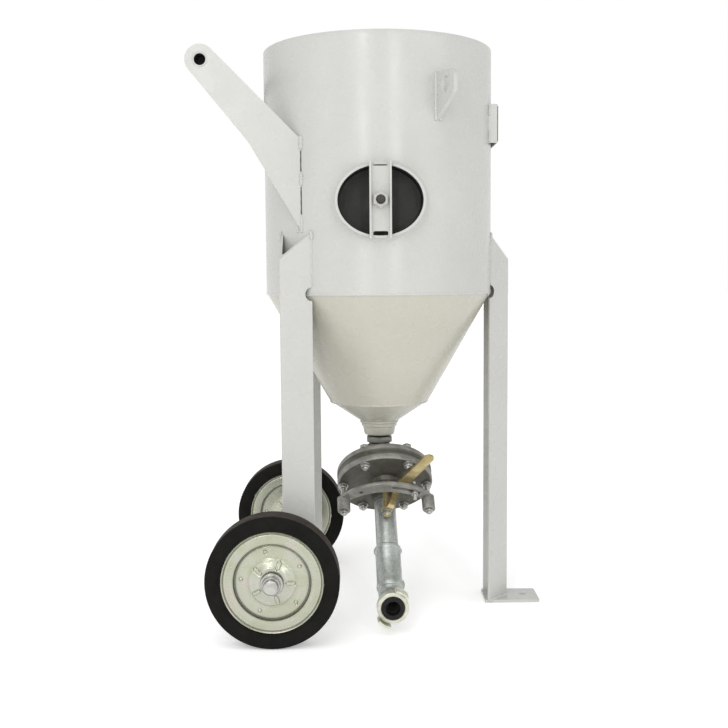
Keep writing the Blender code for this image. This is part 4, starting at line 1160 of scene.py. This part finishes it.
# ---- outlet pipe, elbow and coupling
BEND_R, JOINT_T, STRAIGHT_END = 40, 124, 213
piece("pipe_length", lathe(
    [(PIPE_BORE, 4.4), (PIPE_R, 4.4), (PIPE_R, 60), (PIPE_R, JOINT_T - 2.6), (PIPE_R - 0.6, JOINT_T - 0.4),
     (PIPE_BORE, JOINT_T - 0.4)], 72), "galvanised", on_pipe, ["outlet_pipe"], sharp=40)
# a dark ring at the pipe joint: thread compound, darkened as a painted shadow line under the elbow's sleeve
piece("joint_shadow_line", lathe(offset([(-1, -1.9), (0.7, -1.7), (0.7, -0.2), (-1, -0.1)], PIPE_R, JOINT_T), 72),
      "dark_thread", on_pipe, sharp=40)
fitting = offset([(23.2, 0), (24.3, 0.4), (25.4, 1.4), (25.7, 6), (25.3, 8), (24.6, 9.5), (24.4, 40)],
                 dz=JOINT_T)
fitting += offset([(24.5, -11), (25.3, -9.5), (25.7, -7), (25.6, -2), (24.9, -0.6), (23.4, 0), (22.9, 1)],
                  dz=STRAIGHT_END)
path, radii = [(0, PIPE_E, t) for r, t in fitting], [r for r, t in fitting]
for i in range(16):
    a = radians(45 * i / 15)
    path.append((0, PIPE_E + BEND_R * (1 - cos(a)), STRAIGHT_END + 2 + BEND_R * sin(a)))
    radii.append(23)
end_dir, bend_end = Vector((0, *polar(1, 45))), Vector(path[-1])
for d, r in ((6, 23), (8, 24), (13, 24.3), (14, 23.4)):
    path.append(tuple(bend_end + end_dir * d))
    radii.append(r)
piece("pipe_elbow", sweep(path, radii, 64, bore=PIPE_BORE + 0.5), "galvanised", VALVE, ["outlet_elbow"],
      sharp=32)
swell = ((-1.4, 0.15), (-1.1, 0.55), (-0.7, 0.85), (-0.3, 0.97), (0, 1), (0.3, 0.97), (0.7, 0.85),
         (1.1, 0.55), (1.4, 0.15))
for k, (x, t, grow) in enumerate(((24.5, JOINT_T + 6, 5), (-24.5, JOINT_T + 7, 5),
                                  (24, STRAIGHT_END - 10, 7.5))):
    piece("elbow_lug_%d" % k, sweep([(x, PIPE_E, t + grow * q) for q, _ in swell],
                                         [grow * v * 0.62 for _, v in swell], 24),
          "galvanised", VALVE, sharp=60)

HOSE = Matrix.Translation(VALVE @ Vector(path[-1])) @ Matrix.Rotation(VALVE_YAW, 4, "Z") @ turned(90, "X")
CL = 28  # length of the coupling's body
coupling = as_object("claw_coupling", lathe(
    [(17.5, GAP), (24.4, GAP), (25, 1), (25.2, 4), (26.4, 7), (28.6, 8.8), (29.5, 10.4), (29.5, CL - 2),
     (29, CL - 0.6), (28, CL), (22.8, CL), (21.6, CL - 1), (21.6, 12), (17.5, 12)], 96), HOSE)
for mid in (60, 240):
    outer = arc(0, 0, 36, mid - 22, mid + 22, 16)
    block = as_object("claw", slab(outer + arc(0, 0, 24, mid + 22, mid - 22, 16), 9, 17), HOSE)
    hook = tool(slab(outer + arc(0, 0, 31.5, mid + 22, mid - 22, 16), 16, CL + 10), HOSE)
    carve(block, [hook], "UNION")
    bevelled(block, 1.2, 3, 40)
    carve(coupling, [block], "UNION")
    drop(hook, block)
dress(coupling, "pale_zinc", nodes=["hose_coupling"], sharp=32)
piece("coupling_seal", lathe(
    [(13.4, 12.3), (21.3, 12.3), (21.3, CL + 0.8), (20.7, CL + 2), (19.5, CL + 2.5), (15, CL + 2.5),
     (13.6, CL + 1.8), (13, CL + 0.4), (13, 24), (13.8, 20), (13.4, 16)], 96), "rubber", HOSE,
    ["coupling_gasket"], sharp=40)
